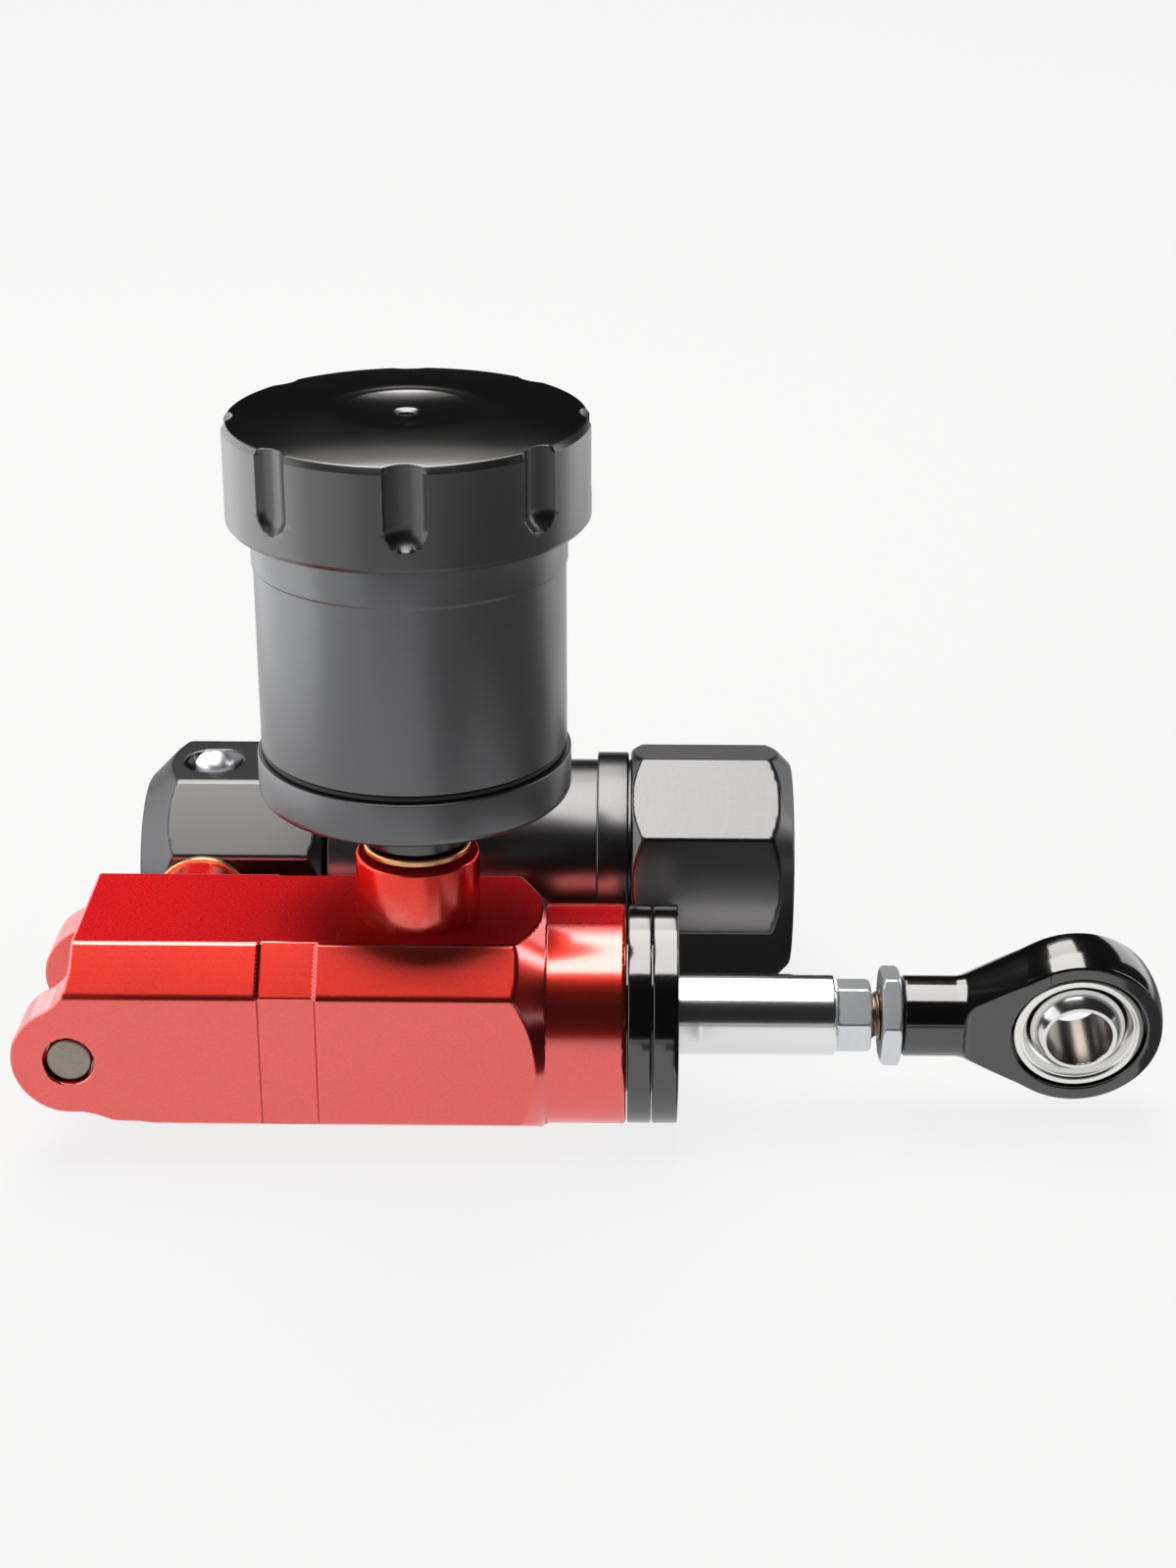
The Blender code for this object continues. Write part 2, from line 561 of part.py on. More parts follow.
def make_pushrod():
    """Chrome rod with its hexagon neck and threaded stub, and the jam nut on the stub."""
    stub_end = SHANK_X + SHANK_LENGTH
    inner_x = PISTON_FACE_X + CLEARANCE
    spigot_x = PISTON_FACE_X - SOCKET_DEPTH + CLEARANCE
    pushrod = turned("pushrod", [
        (0, stub_end - EDGE), (STUB_RADIUS - EDGE, stub_end - EDGE), (STUB_RADIUS, stub_end - 2 * EDGE),
        (STUB_RADIUS, HEX_X - EDGE), (ROD_RADIUS - EDGE, HEX_X - EDGE), (ROD_RADIUS, HEX_X - 2 * EDGE),
        (ROD_RADIUS, inner_x), (STUB_RADIUS, inner_x), (STUB_RADIUS, spigot_x), (0, spigot_x)],
        "chrome", "X", MASTER_AXIS)
    neck = extruded("hex_neck", [polygon(6, HEX_NECK_FLATS, HEX_ROLL)], HEX_X - ROD_RADIUS, STUB_X, None, "X",
                    MASTER_AXIS)
    combine(pushrod, neck, "UNION")
    nut = extruded("jam_nut", [polygon(6, NUT_FLATS, HEX_ROLL)], NUT_X, NUT_X + NUT_THICKNESS, "steel", "X",
                   MASTER_AXIS)
    corner = NUT_FLATS / math.sqrt(3)
    blunt = turned("jam_nut_corners", [
        (0, NUT_X + NUT_THICKNESS + EDGE), (NUT_FLATS / 2 - EDGE, NUT_X + NUT_THICKNESS + EDGE),
        (corner, NUT_X + NUT_THICKNESS - EDGE), (corner, NUT_X + EDGE), (NUT_FLATS / 2 - EDGE, NUT_X - EDGE),
        (0, NUT_X - EDGE)], None, "X", MASTER_AXIS)
    combine(nut, blunt, "INTERSECT")
    combine(nut, turned("jam_nut_hole", rod(STUB_RADIUS + CLEARANCE, HEX_X, EYE_X), None, "X", MASTER_AXIS))


def make_rod_end():
    """Rod end: an eye on a shank, with its race and ball, rolled a little about the rod."""
    eye = bpy.data.objects.new("rod_end_axis", None)
    PARTS.objects.link(eye)
    eye.location = Vector((EYE_X, 0, AXIS_Z)) * MM
    eye.rotation_euler = (math.radians(ROD_END_ROLL), 0, 0)
    half = EYE_THICKNESS / 2
    housing = turned("rod_end_housing", [
        (0, half), (EYE_RADIUS - EDGE, half), (EYE_RADIUS, half - EDGE), (EYE_RADIUS, EDGE - half),
        (EYE_RADIUS - EDGE, -half), (0, -half)], "black_anodised", "Y", (0, 0, 0), ROUND_LARGE, eye)
    shank_start = SHANK_X - EYE_X
    shank_end = shank_start + SHANK_LENGTH
    flare = math.degrees(math.acos((EYE_RADIUS - SHANK_RADIUS) / -shank_end))
    tangent = 180 - flare
    top = (EYE_RADIUS * math.cos(math.radians(tangent)), EYE_RADIUS * math.sin(math.radians(tangent)))
    shank = turned("rod_end_shank", [
        (0, top[0]), (top[1], top[0]), (SHANK_RADIUS, shank_end), (SHANK_RADIUS, shank_start + EDGE),
        (SHANK_RADIUS - EDGE, shank_start), (0, shank_start)], None, "X", (0, 0, 0), ROUND_LARGE, eye)
    run_x = shank_end + FLAT_RUN
    run = arc((run_x, half + FLAT_RUN), FLAT_RUN, -90, -180)
    upper = [(EYE_RADIUS, half)] + run + [(shank_end, EYE_RADIUS), (2 * shank_start, EYE_RADIUS)]
    flats = extruded("rod_end_flats", [upper + [(x, -y) for x, y in reversed(upper)]], -EYE_RADIUS,
                     EYE_RADIUS, None, "Z", (0, 0, 0), eye)
    combine(shank, flats, "INTERSECT")
    combine(housing, shank, "UNION")
    combine(housing, turned("race_seat", rod(RACE_RADIUS + CLEARANCE, -EYE_RADIUS, EYE_RADIUS), None, "Y",
                            (0, 0, 0), ROUND_LARGE, eye))
    combine(housing, turned("shank_hole", rod(STUB_RADIUS + CLEARANCE, 2 * shank_start, shank_end), None, "X",
                            (0, 0, 0), ROUND, eye))
    half_race = RACE_WIDTH / 2
    land = RACE_RADIUS - RACE_LAND
    lean = math.degrees(math.asin(RACE_SEAT / 2 / (BALL_RADIUS + CLEARANCE)))
    race = [(RACE_RADIUS - EDGE, half_race), (RACE_RADIUS, half_race - EDGE), (RACE_RADIUS, EDGE - half_race),
            (RACE_RADIUS - EDGE, -half_race), (land, -half_race)]
    race += arc((0, 0), BALL_RADIUS + CLEARANCE, -lean, lean) + [(land, half_race)]
    turned("rod_end_race", race, "steel", "Y", (0, 0, 0), ROUND_LARGE, eye)
    lean = math.degrees(math.asin(BALL_WIDTH / 2 / BALL_RADIUS))
    ball = [(BALL_BORE_RADIUS, -BALL_WIDTH / 2), (BALL_BORE_RADIUS, BALL_WIDTH / 2)]
    turned("rod_end_ball", arc((0, 0), BALL_RADIUS, lean, -lean, 2 * ARC) + ball, "chrome", "Y", (0, 0, 0),
           ROUND_LARGE, eye)


def make_reservoir():
    """Reservoir on its stem: base, tube, screw cap and the diaphragm under the cap."""
    hole = STEM_RADIUS + CLEARANCE
    turned("reservoir_washer", ring(hole, WASHER_RADIUS, WASHER_Z, WASHER_Z + WASHER_THICKNESS, SEAL_GAP),
           "copper")
    stem_foot = BOSS_TOP_Z - STEM_DEPTH
    stem_top = BASE_Z + BASE_FLOOR + NUT_HEIGHT + 2 * CLEARANCE
    collar_top = COLLAR_Z + STEM_COLLAR_HEIGHT
    turned("reservoir_stem", [
        (STEM_RADIUS, stem_top), (STEM_RADIUS, collar_top), (STEM_COLLAR_RADIUS, collar_top),
        (STEM_COLLAR_RADIUS, COLLAR_Z + EDGE), (STEM_COLLAR_RADIUS - EDGE, COLLAR_Z), (STEM_RADIUS, COLLAR_Z),
        (STEM_RADIUS, stem_foot), (STEM_BORE_RADIUS, stem_foot), (STEM_BORE_RADIUS, stem_top)], "satin_black")
    nut_z = BASE_Z + BASE_FLOOR + CLEARANCE
    nut = extruded("stem_nut", [polygon(6, STEM_NUT_FLATS)], nut_z, nut_z + NUT_HEIGHT, "steel")
    combine(nut, turned("stem_nut_hole", rod(hole, BASE_Z, TUBE_TOP_Z), None))
    tube_bore = BASE_RADIUS - TUBE_WALL
    lip = tube_bore - CLEARANCE
    lip_bore = lip - TUBE_WALL
    floor_z = BASE_Z + BASE_FLOOR
    lip_z = BASE_TOP_Z + BASE_LIP
    foot = arc((BASE_RADIUS - BASE_ROUND, BASE_Z + BASE_ROUND), BASE_ROUND, 0, -90)
    turned("reservoir_base", [(lip, lip_z), (lip, BASE_TOP_Z), (BASE_RADIUS - SEAL_GAP, BASE_TOP_Z),
                              (BASE_RADIUS, BASE_TOP_Z - SEAL_GAP)] + foot + [
        (hole, BASE_Z), (hole, floor_z), (lip_bore, floor_z), (lip_bore, lip_z)],
        "grey_anodised", steps=ROUND_LARGE)
    seal_z = BASE_TOP_Z + SEAL_GAP
    turned("base_o_ring", ring(tube_bore, BASE_RADIUS - CLEARANCE, seal_z, seal_z + BASE_RING), "rubber",
           steps=ROUND_LARGE)
    waist = BASE_RADIUS - TUBE_WAIST
    band = BASE_RADIUS - TUBE_WAIST / 2
    band_z = TUBE_TOP_Z - TUBE_BAND
    neck_bore = NECK_RADIUS - TUBE_WALL
    turned("reservoir_tube", [
        (neck_bore, NECK_TOP_Z), (NECK_RADIUS - EDGE, NECK_TOP_Z), (NECK_RADIUS, NECK_TOP_Z - EDGE),
        (NECK_RADIUS, TUBE_TOP_Z), (band, TUBE_TOP_Z), (band, band_z), (waist, band_z - TUBE_WAIST),
        (waist, TUBE_Z + 2 * TUBE_FOOT), (BASE_RADIUS, TUBE_Z + TUBE_FOOT), (BASE_RADIUS, TUBE_Z),
        (tube_bore, TUBE_Z), (tube_bore, TUBE_TOP_Z - TUBE_WALL), (neck_bore, TUBE_TOP_Z - TUBE_WALL)],
        "grey_anodised", steps=ROUND_LARGE)
    cap_seal = NECK_RADIUS + CLEARANCE
    turned("cap_o_ring", ring(cap_seal, cap_seal + CAP_RING, TUBE_TOP_Z + SEAL_GAP,
                              TUBE_TOP_Z + SEAL_GAP + CAP_RING), "silicone", steps=ROUND_LARGE)
    pocket = neck_bore - CLEARANCE
    flange = NECK_RADIUS - CLEARANCE
    flange_z = DIAPHRAGM_Z + DIAPHRAGM_WALL
    turned("diaphragm", [
        (0, flange_z - DIAPHRAGM_DEPTH), (pocket - DIAPHRAGM_WALL, flange_z - DIAPHRAGM_DEPTH),
        (pocket - DIAPHRAGM_WALL, flange_z), (flange, flange_z), (flange, DIAPHRAGM_Z), (pocket, DIAPHRAGM_Z),
        (pocket, DIAPHRAGM_Z - DIAPHRAGM_DEPTH), (0, DIAPHRAGM_Z - DIAPHRAGM_DEPTH)], "rubber",
        steps=ROUND_LARGE)
    turned("slip_ring", ring(pocket, flange, SLIP_RING_Z, SLIP_RING_Z + SLIP_RING), "aluminium",
           steps=ROUND_LARGE)
    make_cap()


def make_cap():
    """Screw cap with its skirt, dome, vented dish and flutes."""
    skirt = NECK_RADIUS + CAP_SKIRT_GAP
    mouth = NECK_RADIUS + 2 * CLEARANCE + CAP_RING
    mouth_z = TUBE_TOP_Z + 2 * SEAL_GAP + CAP_RING
    edge = CAP_RADIUS - CAP_EDGE
    rise = (edge ** 2 - DISH_RADIUS ** 2) / edge ** 2 * CAP_DOME
    dome = []
    for i in range(ARC):
        radius = DISH_RADIUS + EDGE + (edge - DISH_RADIUS - EDGE) * i / (ARC - 1)
        dome.append((radius, CAP_TOP_Z + CAP_DOME * (1 - (radius / edge) ** 2)))
    dish = []
    for i in range(ARC):
        radius = VENT_RADIUS + (DISH_RADIUS - VENT_RADIUS) * i / (ARC - 1)
        dish.append((radius, CAP_TOP_Z + rise - DISH_DEPTH * (1 - (radius / DISH_RADIUS) ** 2) - SEAL_GAP))
    cap = turned("reservoir_cap", [(VENT_RADIUS, CEILING_Z)] + dish + dome + [
        (CAP_RADIUS, CAP_TOP_Z - CAP_EDGE), (CAP_RADIUS, CAP_Z + CAP_EDGE), (CAP_RADIUS - CAP_EDGE, CAP_Z),
        (mouth, CAP_Z), (mouth, mouth_z), (skirt, mouth_z), (skirt, CEILING_Z)], "black_anodised",
        steps=ROUND_CAP)
    cap.rotation_euler.z = math.pi / ROUND_CAP
    flute_r = CAP_RADIUS - FLUTE_DEPTH + FLUTE_RADIUS
    low = CAP_Z + FLUTE_LAND + FLUTE_RADIUS
    high = CAP_TOP_Z + CAP_HEIGHT
    end = arc((0, low), FLUTE_RADIUS, 0, -90, ARC - 1)
    profile = [(0, high), (FLUTE_RADIUS, high)] + end[:-1] + [(0, low - FLUTE_RADIUS)]
    for i in range(FLUTES):
        angle = 2 * math.pi * i / FLUTES - math.pi / 2 + math.radians(FLUTE_TURN)
        at = (flute_r * math.cos(angle), flute_r * math.sin(angle), 0)
        combine(cap, turned("cap_flute_%d" % (i + 1), profile, None, at=at, steps=ROUND_FLUTE))


def make_port():
    """Hollow nipple and copper washer between the two cylinders."""
    at = (PORT_X, 0, PORT_Z)
    turned("port_nipple", ring(NIPPLE_BORE_RADIUS, NIPPLE_RADIUS, PORT_BOSS_Y - NIPPLE_GRIP,
                               BLOCK_FACE_Y + NIPPLE_SEAT, EDGE), "steel", "Y", at)
    turned("port_washer", ring(NIPPLE_RADIUS + CLEARANCE, WASHER_RADIUS, PORT_WASHER_Y,
                               PORT_WASHER_Y + WASHER_THICKNESS, SEAL_GAP), "copper", "Y", at)


def coned(low, high, flats_radius, corner_radius, cone_low, cone_high):
    """Profile that trims a bar's ends to cones, from just under its flats out to its corners."""
    under_low = flats_radius - cone_low
    under_high = flats_radius - cone_high
    wide = corner_radius + OVERCUT
    return [(0, high + OVERCUT), (under_high - OVERCUT, high + OVERCUT), (wide, high + under_high - wide),
            (wide, low - under_low + wide), (under_low - OVERCUT, low - OVERCUT), (0, low - OVERCUT)]


def make_slave():
    """Slave cylinder: block, tube, lock ring and screw cap."""
    chamfer = BLOCK_HALF_WIDTH - BLOCK_TOP_FLAT / 2
    section = chamfered_box(BLOCK_HALF_WIDTH, BLOCK_HALF_WIDTH, -BLOCK_HALF_WIDTH, chamfer)
    block = extruded("slave_block", [section], BLOCK_LEFT_X, BLOCK_RIGHT_X, "satin_black", "X", SLAVE_AXIS)
    corner = math.hypot(BLOCK_HALF_WIDTH, BLOCK_TOP_FLAT / 2)
    cones = coned(BLOCK_LEFT_X, BLOCK_RIGHT_X, BLOCK_HALF_WIDTH, corner, BLOCK_CONE, EDGE / 2)
    combine(block, turned("block_cones", cones, None, "X", SLAVE_AXIS, ROUND_LARGE), "INTERSECT")
    spigot = TUBE_INSIDE - CLEARANCE
    combine(block, turned("block_spigot", rod(spigot, SLAVE_BORE_X, SPIGOT_END_X, EDGE), None, "X",
                          SLAVE_AXIS, ROUND_LARGE), "UNION")
    combine(block, turned("slave_bore", rod(SLAVE_BORE_RADIUS, SLAVE_BORE_X, SLAVE_CAP_END_X), None, "X",
                          SLAVE_AXIS, ROUND_LARGE))
    seat_y = BLOCK_FACE_Y + NIPPLE_SEAT + CLEARANCE
    combine(block, turned("slave_port", [
        (0, SLAVE_Y), (NIPPLE_BORE_RADIUS, SLAVE_Y), (NIPPLE_BORE_RADIUS, seat_y),
        (NIPPLE_RADIUS + CLEARANCE, seat_y), (NIPPLE_RADIUS + CLEARANCE, 0), (0, 0)], None, "Y",
        (PORT_X, 0, PORT_Z)))
    make_bleed_plug(block)
    turned("slave_tube", ring(TUBE_INSIDE, SLAVE_TUBE_RADIUS, SLAVE_TUBE_X, SLAVE_TUBE_END_X, EDGE),
           "satin_black", "X", SLAVE_AXIS, ROUND_LARGE)
    turned("slave_lock_ring", ring(SLAVE_TUBE_RADIUS + CLEARANCE, SLAVE_RING_RADIUS, SLAVE_RING_X,
                                   SLAVE_RING_X + SLAVE_RING_LENGTH, EDGE), "satin_black", "X", SLAVE_AXIS,
           ROUND_LARGE)
    cap = extruded("slave_cap", [polygon(8, SLAVE_CAP_FLATS, SLAVE_CAP_ROLL)], SLAVE_CAP_X, SLAVE_CAP_END_X,
                   "satin_black", "X", SLAVE_AXIS)
    flats = SLAVE_CAP_FLATS / 2
    corner = flats / math.cos(math.pi / 8)
    combine(cap, turned("slave_cap_cones", coned(SLAVE_CAP_X, SLAVE_CAP_END_X, flats, corner, EDGE / 2,
                                                 SLAVE_CAP_CONE), None, "X", SLAVE_AXIS, ROUND_LARGE),
            "INTERSECT")
    thread = SLAVE_TUBE_RADIUS + CLEARANCE
    combine(cap, turned("slave_cap_bore", [
        (0, SLAVE_WALL_X + GUIDE_SEAT), (GUIDE_RADIUS + CLEARANCE, SLAVE_WALL_X + GUIDE_SEAT),
        (GUIDE_RADIUS + CLEARANCE, SLAVE_WALL_X), (thread, SLAVE_WALL_X), (thread, 0), (0, 0)], None, "X",
        SLAVE_AXIS, ROUND_LARGE))


def make_bleed_plug(block):
    """Dome-headed bleed plug in a countersink on the block's top flat."""
    at = (PORT_X, SLAVE_Y, BLOCK_TOP_Z)
    thread = BLEED_RADIUS + CLEARANCE
    sink = BLEED_SINK_DEPTH
    thread_end = -sink - BLEED_THREAD - CLEARANCE
    combine(block, turned("bleed_hole", [
        (0, OVERCUT), (BLEED_SINK_RADIUS + OVERCUT, OVERCUT), (BLEED_SINK_RADIUS, 0), (thread, -sink),
        (thread, thread_end), (FEED_RADIUS, thread_end), (FEED_RADIUS, -BLOCK_HALF_WIDTH),
        (0, -BLOCK_HALF_WIDTH)], None, at=at))
    lean = math.degrees(math.acos(BLEED_RADIUS / BLEED_DOME_RADIUS))
    head = arc((0, BLEED_RISE - BLEED_DOME_RADIUS), BLEED_DOME_RADIUS, 90, lean)
    head[0] = (0, BLEED_RISE)
    turned("bleed_plug", head + [(BLEED_RADIUS, -sink - BLEED_THREAD), (0, -sink - BLEED_THREAD)],
           "chrome", at=at)


def make_slave_inside():
    """Slave piston with its seal, and the stack of elastomers that it squeezes."""
    skirt = SLAVE_BORE_RADIUS - CLEARANCE
    groove = skirt - FLANGE_LENGTH
    groove_x = SLAVE_HEAD_X + FLANGE_LENGTH
    groove_end = groove_x + CUP_LENGTH
    head_end = SLAVE_HEAD_X + SLAVE_HEAD_LENGTH
    pusher = TUBE_INSIDE - 2 * CLEARANCE
    turned("slave_piston", [
        (0, STACK_X), (pusher - EDGE, STACK_X), (pusher, STACK_X - EDGE), (pusher, PUSHER_X),
        (SLAVE_ROD_RADIUS, PUSHER_X), (SLAVE_ROD_RADIUS, head_end), (skirt, head_end), (skirt, groove_end),
        (groove, groove_end), (groove, groove_x), (skirt, groove_x), (skirt, SLAVE_HEAD_X + EDGE),
        (skirt - EDGE, SLAVE_HEAD_X), (0, SLAVE_HEAD_X)], "aluminium", "X", SLAVE_AXIS)
    turned("slave_seal", ring(groove + CLEARANCE, skirt, groove_x + CLEARANCE, groove_end - CLEARANCE, EDGE),
           "rubber", "X", SLAVE_AXIS)
    guide_hole = GUIDE_RADIUS + 2 * CLEARANCE
    rubber = guide_hole + ELASTOMER_WALL
    inner_x = STACK_X + CLEARANCE
    outer_x = WASHER_X + STACK_WASHER + CLEARANCE
    for name, low in (("elastomer_inner", inner_x), ("elastomer_outer", outer_x)):
        turned(name, ring(guide_hole, rubber, low, low + ELASTOMER_LENGTH, EDGE), "polyurethane",
               "X", SLAVE_AXIS)
    turned("stack_washer", ring(guide_hole, pusher, WASHER_X, WASHER_X + STACK_WASHER, EDGE), "steel", "X",
           SLAVE_AXIS)
    turned("guide_pin", rod(GUIDE_RADIUS, STACK_X + SLAVE_STROKE + GUIDE_RESERVE,
                            SLAVE_WALL_X + GUIDE_SEAT - CLEARANCE, EDGE), "steel", "X", SLAVE_AXIS)


make_master_body()
make_gland()
make_piston()
make_pushrod()
make_rod_end()
make_reservoir()
make_port()
make_slave()
make_slave_inside()
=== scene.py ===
# %% [markdown]
# # Dressing a brake cylinder unit
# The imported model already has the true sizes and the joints, but its solids are coarse. This lesson
# puts a fine piece in the place of each solid and gives each finish its own material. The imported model
# is loaded first and never moved: every fine piece rides on one of its bodies.

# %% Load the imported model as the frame
import json
import math

import bmesh
import bpy
import numpy as np
from mathutils import Matrix, Vector

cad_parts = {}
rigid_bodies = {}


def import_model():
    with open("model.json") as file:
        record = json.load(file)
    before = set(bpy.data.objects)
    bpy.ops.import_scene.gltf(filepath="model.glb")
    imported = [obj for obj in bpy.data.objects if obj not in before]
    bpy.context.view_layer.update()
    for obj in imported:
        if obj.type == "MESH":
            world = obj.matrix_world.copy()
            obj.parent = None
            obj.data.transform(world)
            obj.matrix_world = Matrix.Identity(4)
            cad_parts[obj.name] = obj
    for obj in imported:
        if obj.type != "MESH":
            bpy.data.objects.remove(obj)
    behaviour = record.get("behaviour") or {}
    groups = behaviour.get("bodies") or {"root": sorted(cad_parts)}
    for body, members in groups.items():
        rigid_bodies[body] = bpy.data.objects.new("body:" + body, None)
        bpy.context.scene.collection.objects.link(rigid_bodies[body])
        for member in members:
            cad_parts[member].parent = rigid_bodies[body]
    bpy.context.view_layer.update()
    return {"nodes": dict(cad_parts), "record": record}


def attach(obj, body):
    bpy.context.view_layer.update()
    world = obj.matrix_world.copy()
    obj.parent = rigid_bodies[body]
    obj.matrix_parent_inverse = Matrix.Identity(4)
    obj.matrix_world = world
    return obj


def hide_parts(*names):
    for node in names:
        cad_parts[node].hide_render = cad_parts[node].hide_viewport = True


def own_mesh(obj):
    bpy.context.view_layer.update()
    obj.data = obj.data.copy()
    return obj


for leftover in list(bpy.data.objects):
    bpy.data.objects.remove(leftover)
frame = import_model()
MM = 0.001
BODY_OF = {node: body for body, nodes in frame["record"]["behaviour"]["bodies"].items() for node in nodes}
SLOT_OF = {row["node"]: row["material_slot"] for row in frame["record"]["subparts"]}

# %% [markdown]
# ## Small tools for shader nodes
# A material is a small graph. Two helpers keep the graphs readable: one adds a Math node, the other a
# Mix node for colours. Either takes plain numbers or links for its inputs. A third starts a node group
# with named sockets, so that an effect is built once and placed in many materials.


# %% Node helpers
def feed(tree, socket, value):
    """Set a socket from a plain value, or link it to another socket."""
    if isinstance(value, bpy.types.NodeSocket):
        tree.links.new(value, socket)
    else:
        socket.default_value = value


def sum_of(tree, operation, *values):
    """A Math node's result."""
    node = tree.nodes.new("ShaderNodeMath")
    node.operation = operation
    for socket, value in zip(node.inputs, values):
        feed(tree, socket, value)
    return node.outputs[0]


def vector_of(tree, operation, first, second=None):
    """A Vector Math node, whose outputs are a vector and a value."""
    node = tree.nodes.new("ShaderNodeVectorMath")
    node.operation = operation
    feed(tree, node.inputs[0], first)
    if second is not None:
        feed(tree, node.inputs[1], second)
    return node


def mixed(tree, share, first, second):
    """A Mix node between two colours."""
    node = tree.nodes.new("ShaderNodeMix")
    node.data_type = "RGBA"
    feed(tree, node.inputs[0], share)
    feed(tree, node.inputs[6], first)
    feed(tree, node.inputs[7], second)
    return node.outputs[2]


def spread(tree, value, low, high, to_low, to_high):
    """A Map Range node with its ends clamped."""
    node = tree.nodes.new("ShaderNodeMapRange")
    for socket, item in zip(node.inputs, (value, low, high, to_low, to_high)):
        feed(tree, socket, item)
    return node.outputs[0]


def new_group(name, inputs, outputs):
    """An empty node group with its named sockets."""
    tree = bpy.data.node_groups.new(name, "ShaderNodeTree")
    for label, kind, value in inputs:
        tree.interface.new_socket(label, in_out="INPUT", socket_type=kind).default_value = value
    for label in outputs:
        tree.interface.new_socket(label, in_out="OUTPUT", socket_type="NodeSocketFloat")
    return tree, tree.nodes.new("NodeGroupInput").outputs, tree.nodes.new("NodeGroupOutput").inputs


# %% [markdown]
# ## Turning marks
# Most of these pieces come off a lathe, which leaves very fine rings around the axis on the sides and on
# the end faces alike. Stretched noise would need a mapping per piece. Here the distance along the axis
# plus the distance from it drives one-dimensional noise, so one group serves every turned piece, given
# the centre and the direction of its axis.

# %% Node group: turning marks
turning_marks, given, made = new_group(
    "turning_marks",
    [("Centre", "NodeSocketVector", (0, 0, 0)), ("Along", "NodeSocketVector", (0, 0, 1)),
     ("Lines per metre", "NodeSocketFloat", 9000.0)],
    ["Line", "Tone"])
place = turning_marks.nodes.new("ShaderNodeTexCoord").outputs["Object"]
arm = vector_of(turning_marks, "SUBTRACT", place, given["Centre"]).outputs["Vector"]
axial = vector_of(turning_marks, "DOT_PRODUCT", arm, given["Along"]).outputs["Value"]
radial = vector_of(turning_marks, "CROSS_PRODUCT", arm, given["Along"]).outputs["Vector"]
radial = vector_of(turning_marks, "LENGTH", radial).outputs["Value"]
ring_place = sum_of(turning_marks, "ADD", axial, radial)
for label, slower, detail in (("Line", 1.0, 2.0), ("Tone", 0.12, 1.0)):
    noise = turning_marks.nodes.new("ShaderNodeTexNoise")
    noise.noise_dimensions = "1D"
    noise.inputs["Scale"].default_value = slower
    noise.inputs["Detail"].default_value = detail
    feed(turning_marks, noise.inputs["W"],
         sum_of(turning_marks, "MULTIPLY", ring_place, given["Lines per metre"]))
    feed(turning_marks, made[label], spread(turning_marks, noise.outputs["Fac"], 0.3, 0.7, 0.0, 1.0))
print("group:", turning_marks.name)

# %% [markdown]
# ## Blasted grain, smudges, worn and highlighted edges, and upper faces
# Anodised aluminium is often blasted with fine beads first, which leaves a speckle of about a third of a
# millimetre. Handling leaves faint broad smudges that only change the gloss. Sharp edges take the dye
# badly and rub bright; their lighter colour is also a painted highlight along the edges. Each fine piece
# keeps how far its points stand out, under the name "edge", and the wear and highlight group reads that.
# The last group finds the faces that look up, which are duller on some pieces.

# %% Node groups: blasted grain, smudges, worn and highlighted edges, upper faces
blasted_grain, given, made = new_group(
    "blasted_grain", [("Grains per metre", "NodeSocketFloat", 4200.0)], ["Speckle", "Height"])
place = blasted_grain.nodes.new("ShaderNodeTexCoord").outputs["Object"]
noise = blasted_grain.nodes.new("ShaderNodeTexNoise")
noise.inputs["Detail"].default_value = 3.0
noise.inputs["Roughness"].default_value = 0.65
feed(blasted_grain, noise.inputs["Vector"], place)
feed(blasted_grain, noise.inputs["Scale"], given["Grains per metre"])
feed(blasted_grain, made["Speckle"], spread(blasted_grain, noise.outputs["Fac"], 0.38, 0.66, 0.0, 1.0))
feed(blasted_grain, made["Height"], noise.outputs["Fac"])

smudges, given, made = new_group("smudges", [("Patches per metre", "NodeSocketFloat", 90.0)], ["Smudge"])
place = smudges.nodes.new("ShaderNodeTexCoord").outputs["Object"]
noise = smudges.nodes.new("ShaderNodeTexNoise")
noise.inputs["Detail"].default_value = 1.0
feed(smudges, noise.inputs["Vector"], place)
feed(smudges, noise.inputs["Scale"], given["Patches per metre"])
feed(smudges, made["Smudge"], spread(smudges, noise.outputs["Fac"], 0.2, 0.8, 0.0, 1.0))

WEAR_AND_HIGHLIGHT_PATCHES, WEAR_AND_HIGHLIGHT_FADE, LEVEL = 600.0, 0.08, 0.985
# Sharp edges are lightened for rubbed wear and also as a painted highlight along them.
wear_and_edge_highlight, given, made = new_group("wear_and_edge_highlight", [("Start", "NodeSocketFloat", 0.54)], ["Mask"])
kept_edge = wear_and_edge_highlight.nodes.new("ShaderNodeAttribute")
kept_edge.attribute_name = "edge"
place = wear_and_edge_highlight.nodes.new("ShaderNodeTexCoord").outputs["Object"]
noise = wear_and_edge_highlight.nodes.new("ShaderNodeTexNoise")
noise.inputs["Scale"].default_value = WEAR_AND_HIGHLIGHT_PATCHES
feed(wear_and_edge_highlight, noise.inputs["Vector"], place)
end = sum_of(wear_and_edge_highlight, "ADD", given["Start"], WEAR_AND_HIGHLIGHT_FADE)
sharp = spread(wear_and_edge_highlight, kept_edge.outputs["Fac"], given["Start"], end, 0.0, 1.0)
patchy = spread(wear_and_edge_highlight, noise.outputs["Fac"], 0.35, 0.6, 0.35, 1.0)
feed(wear_and_edge_highlight, made["Mask"], sum_of(wear_and_edge_highlight, "MULTIPLY", sharp, patchy))

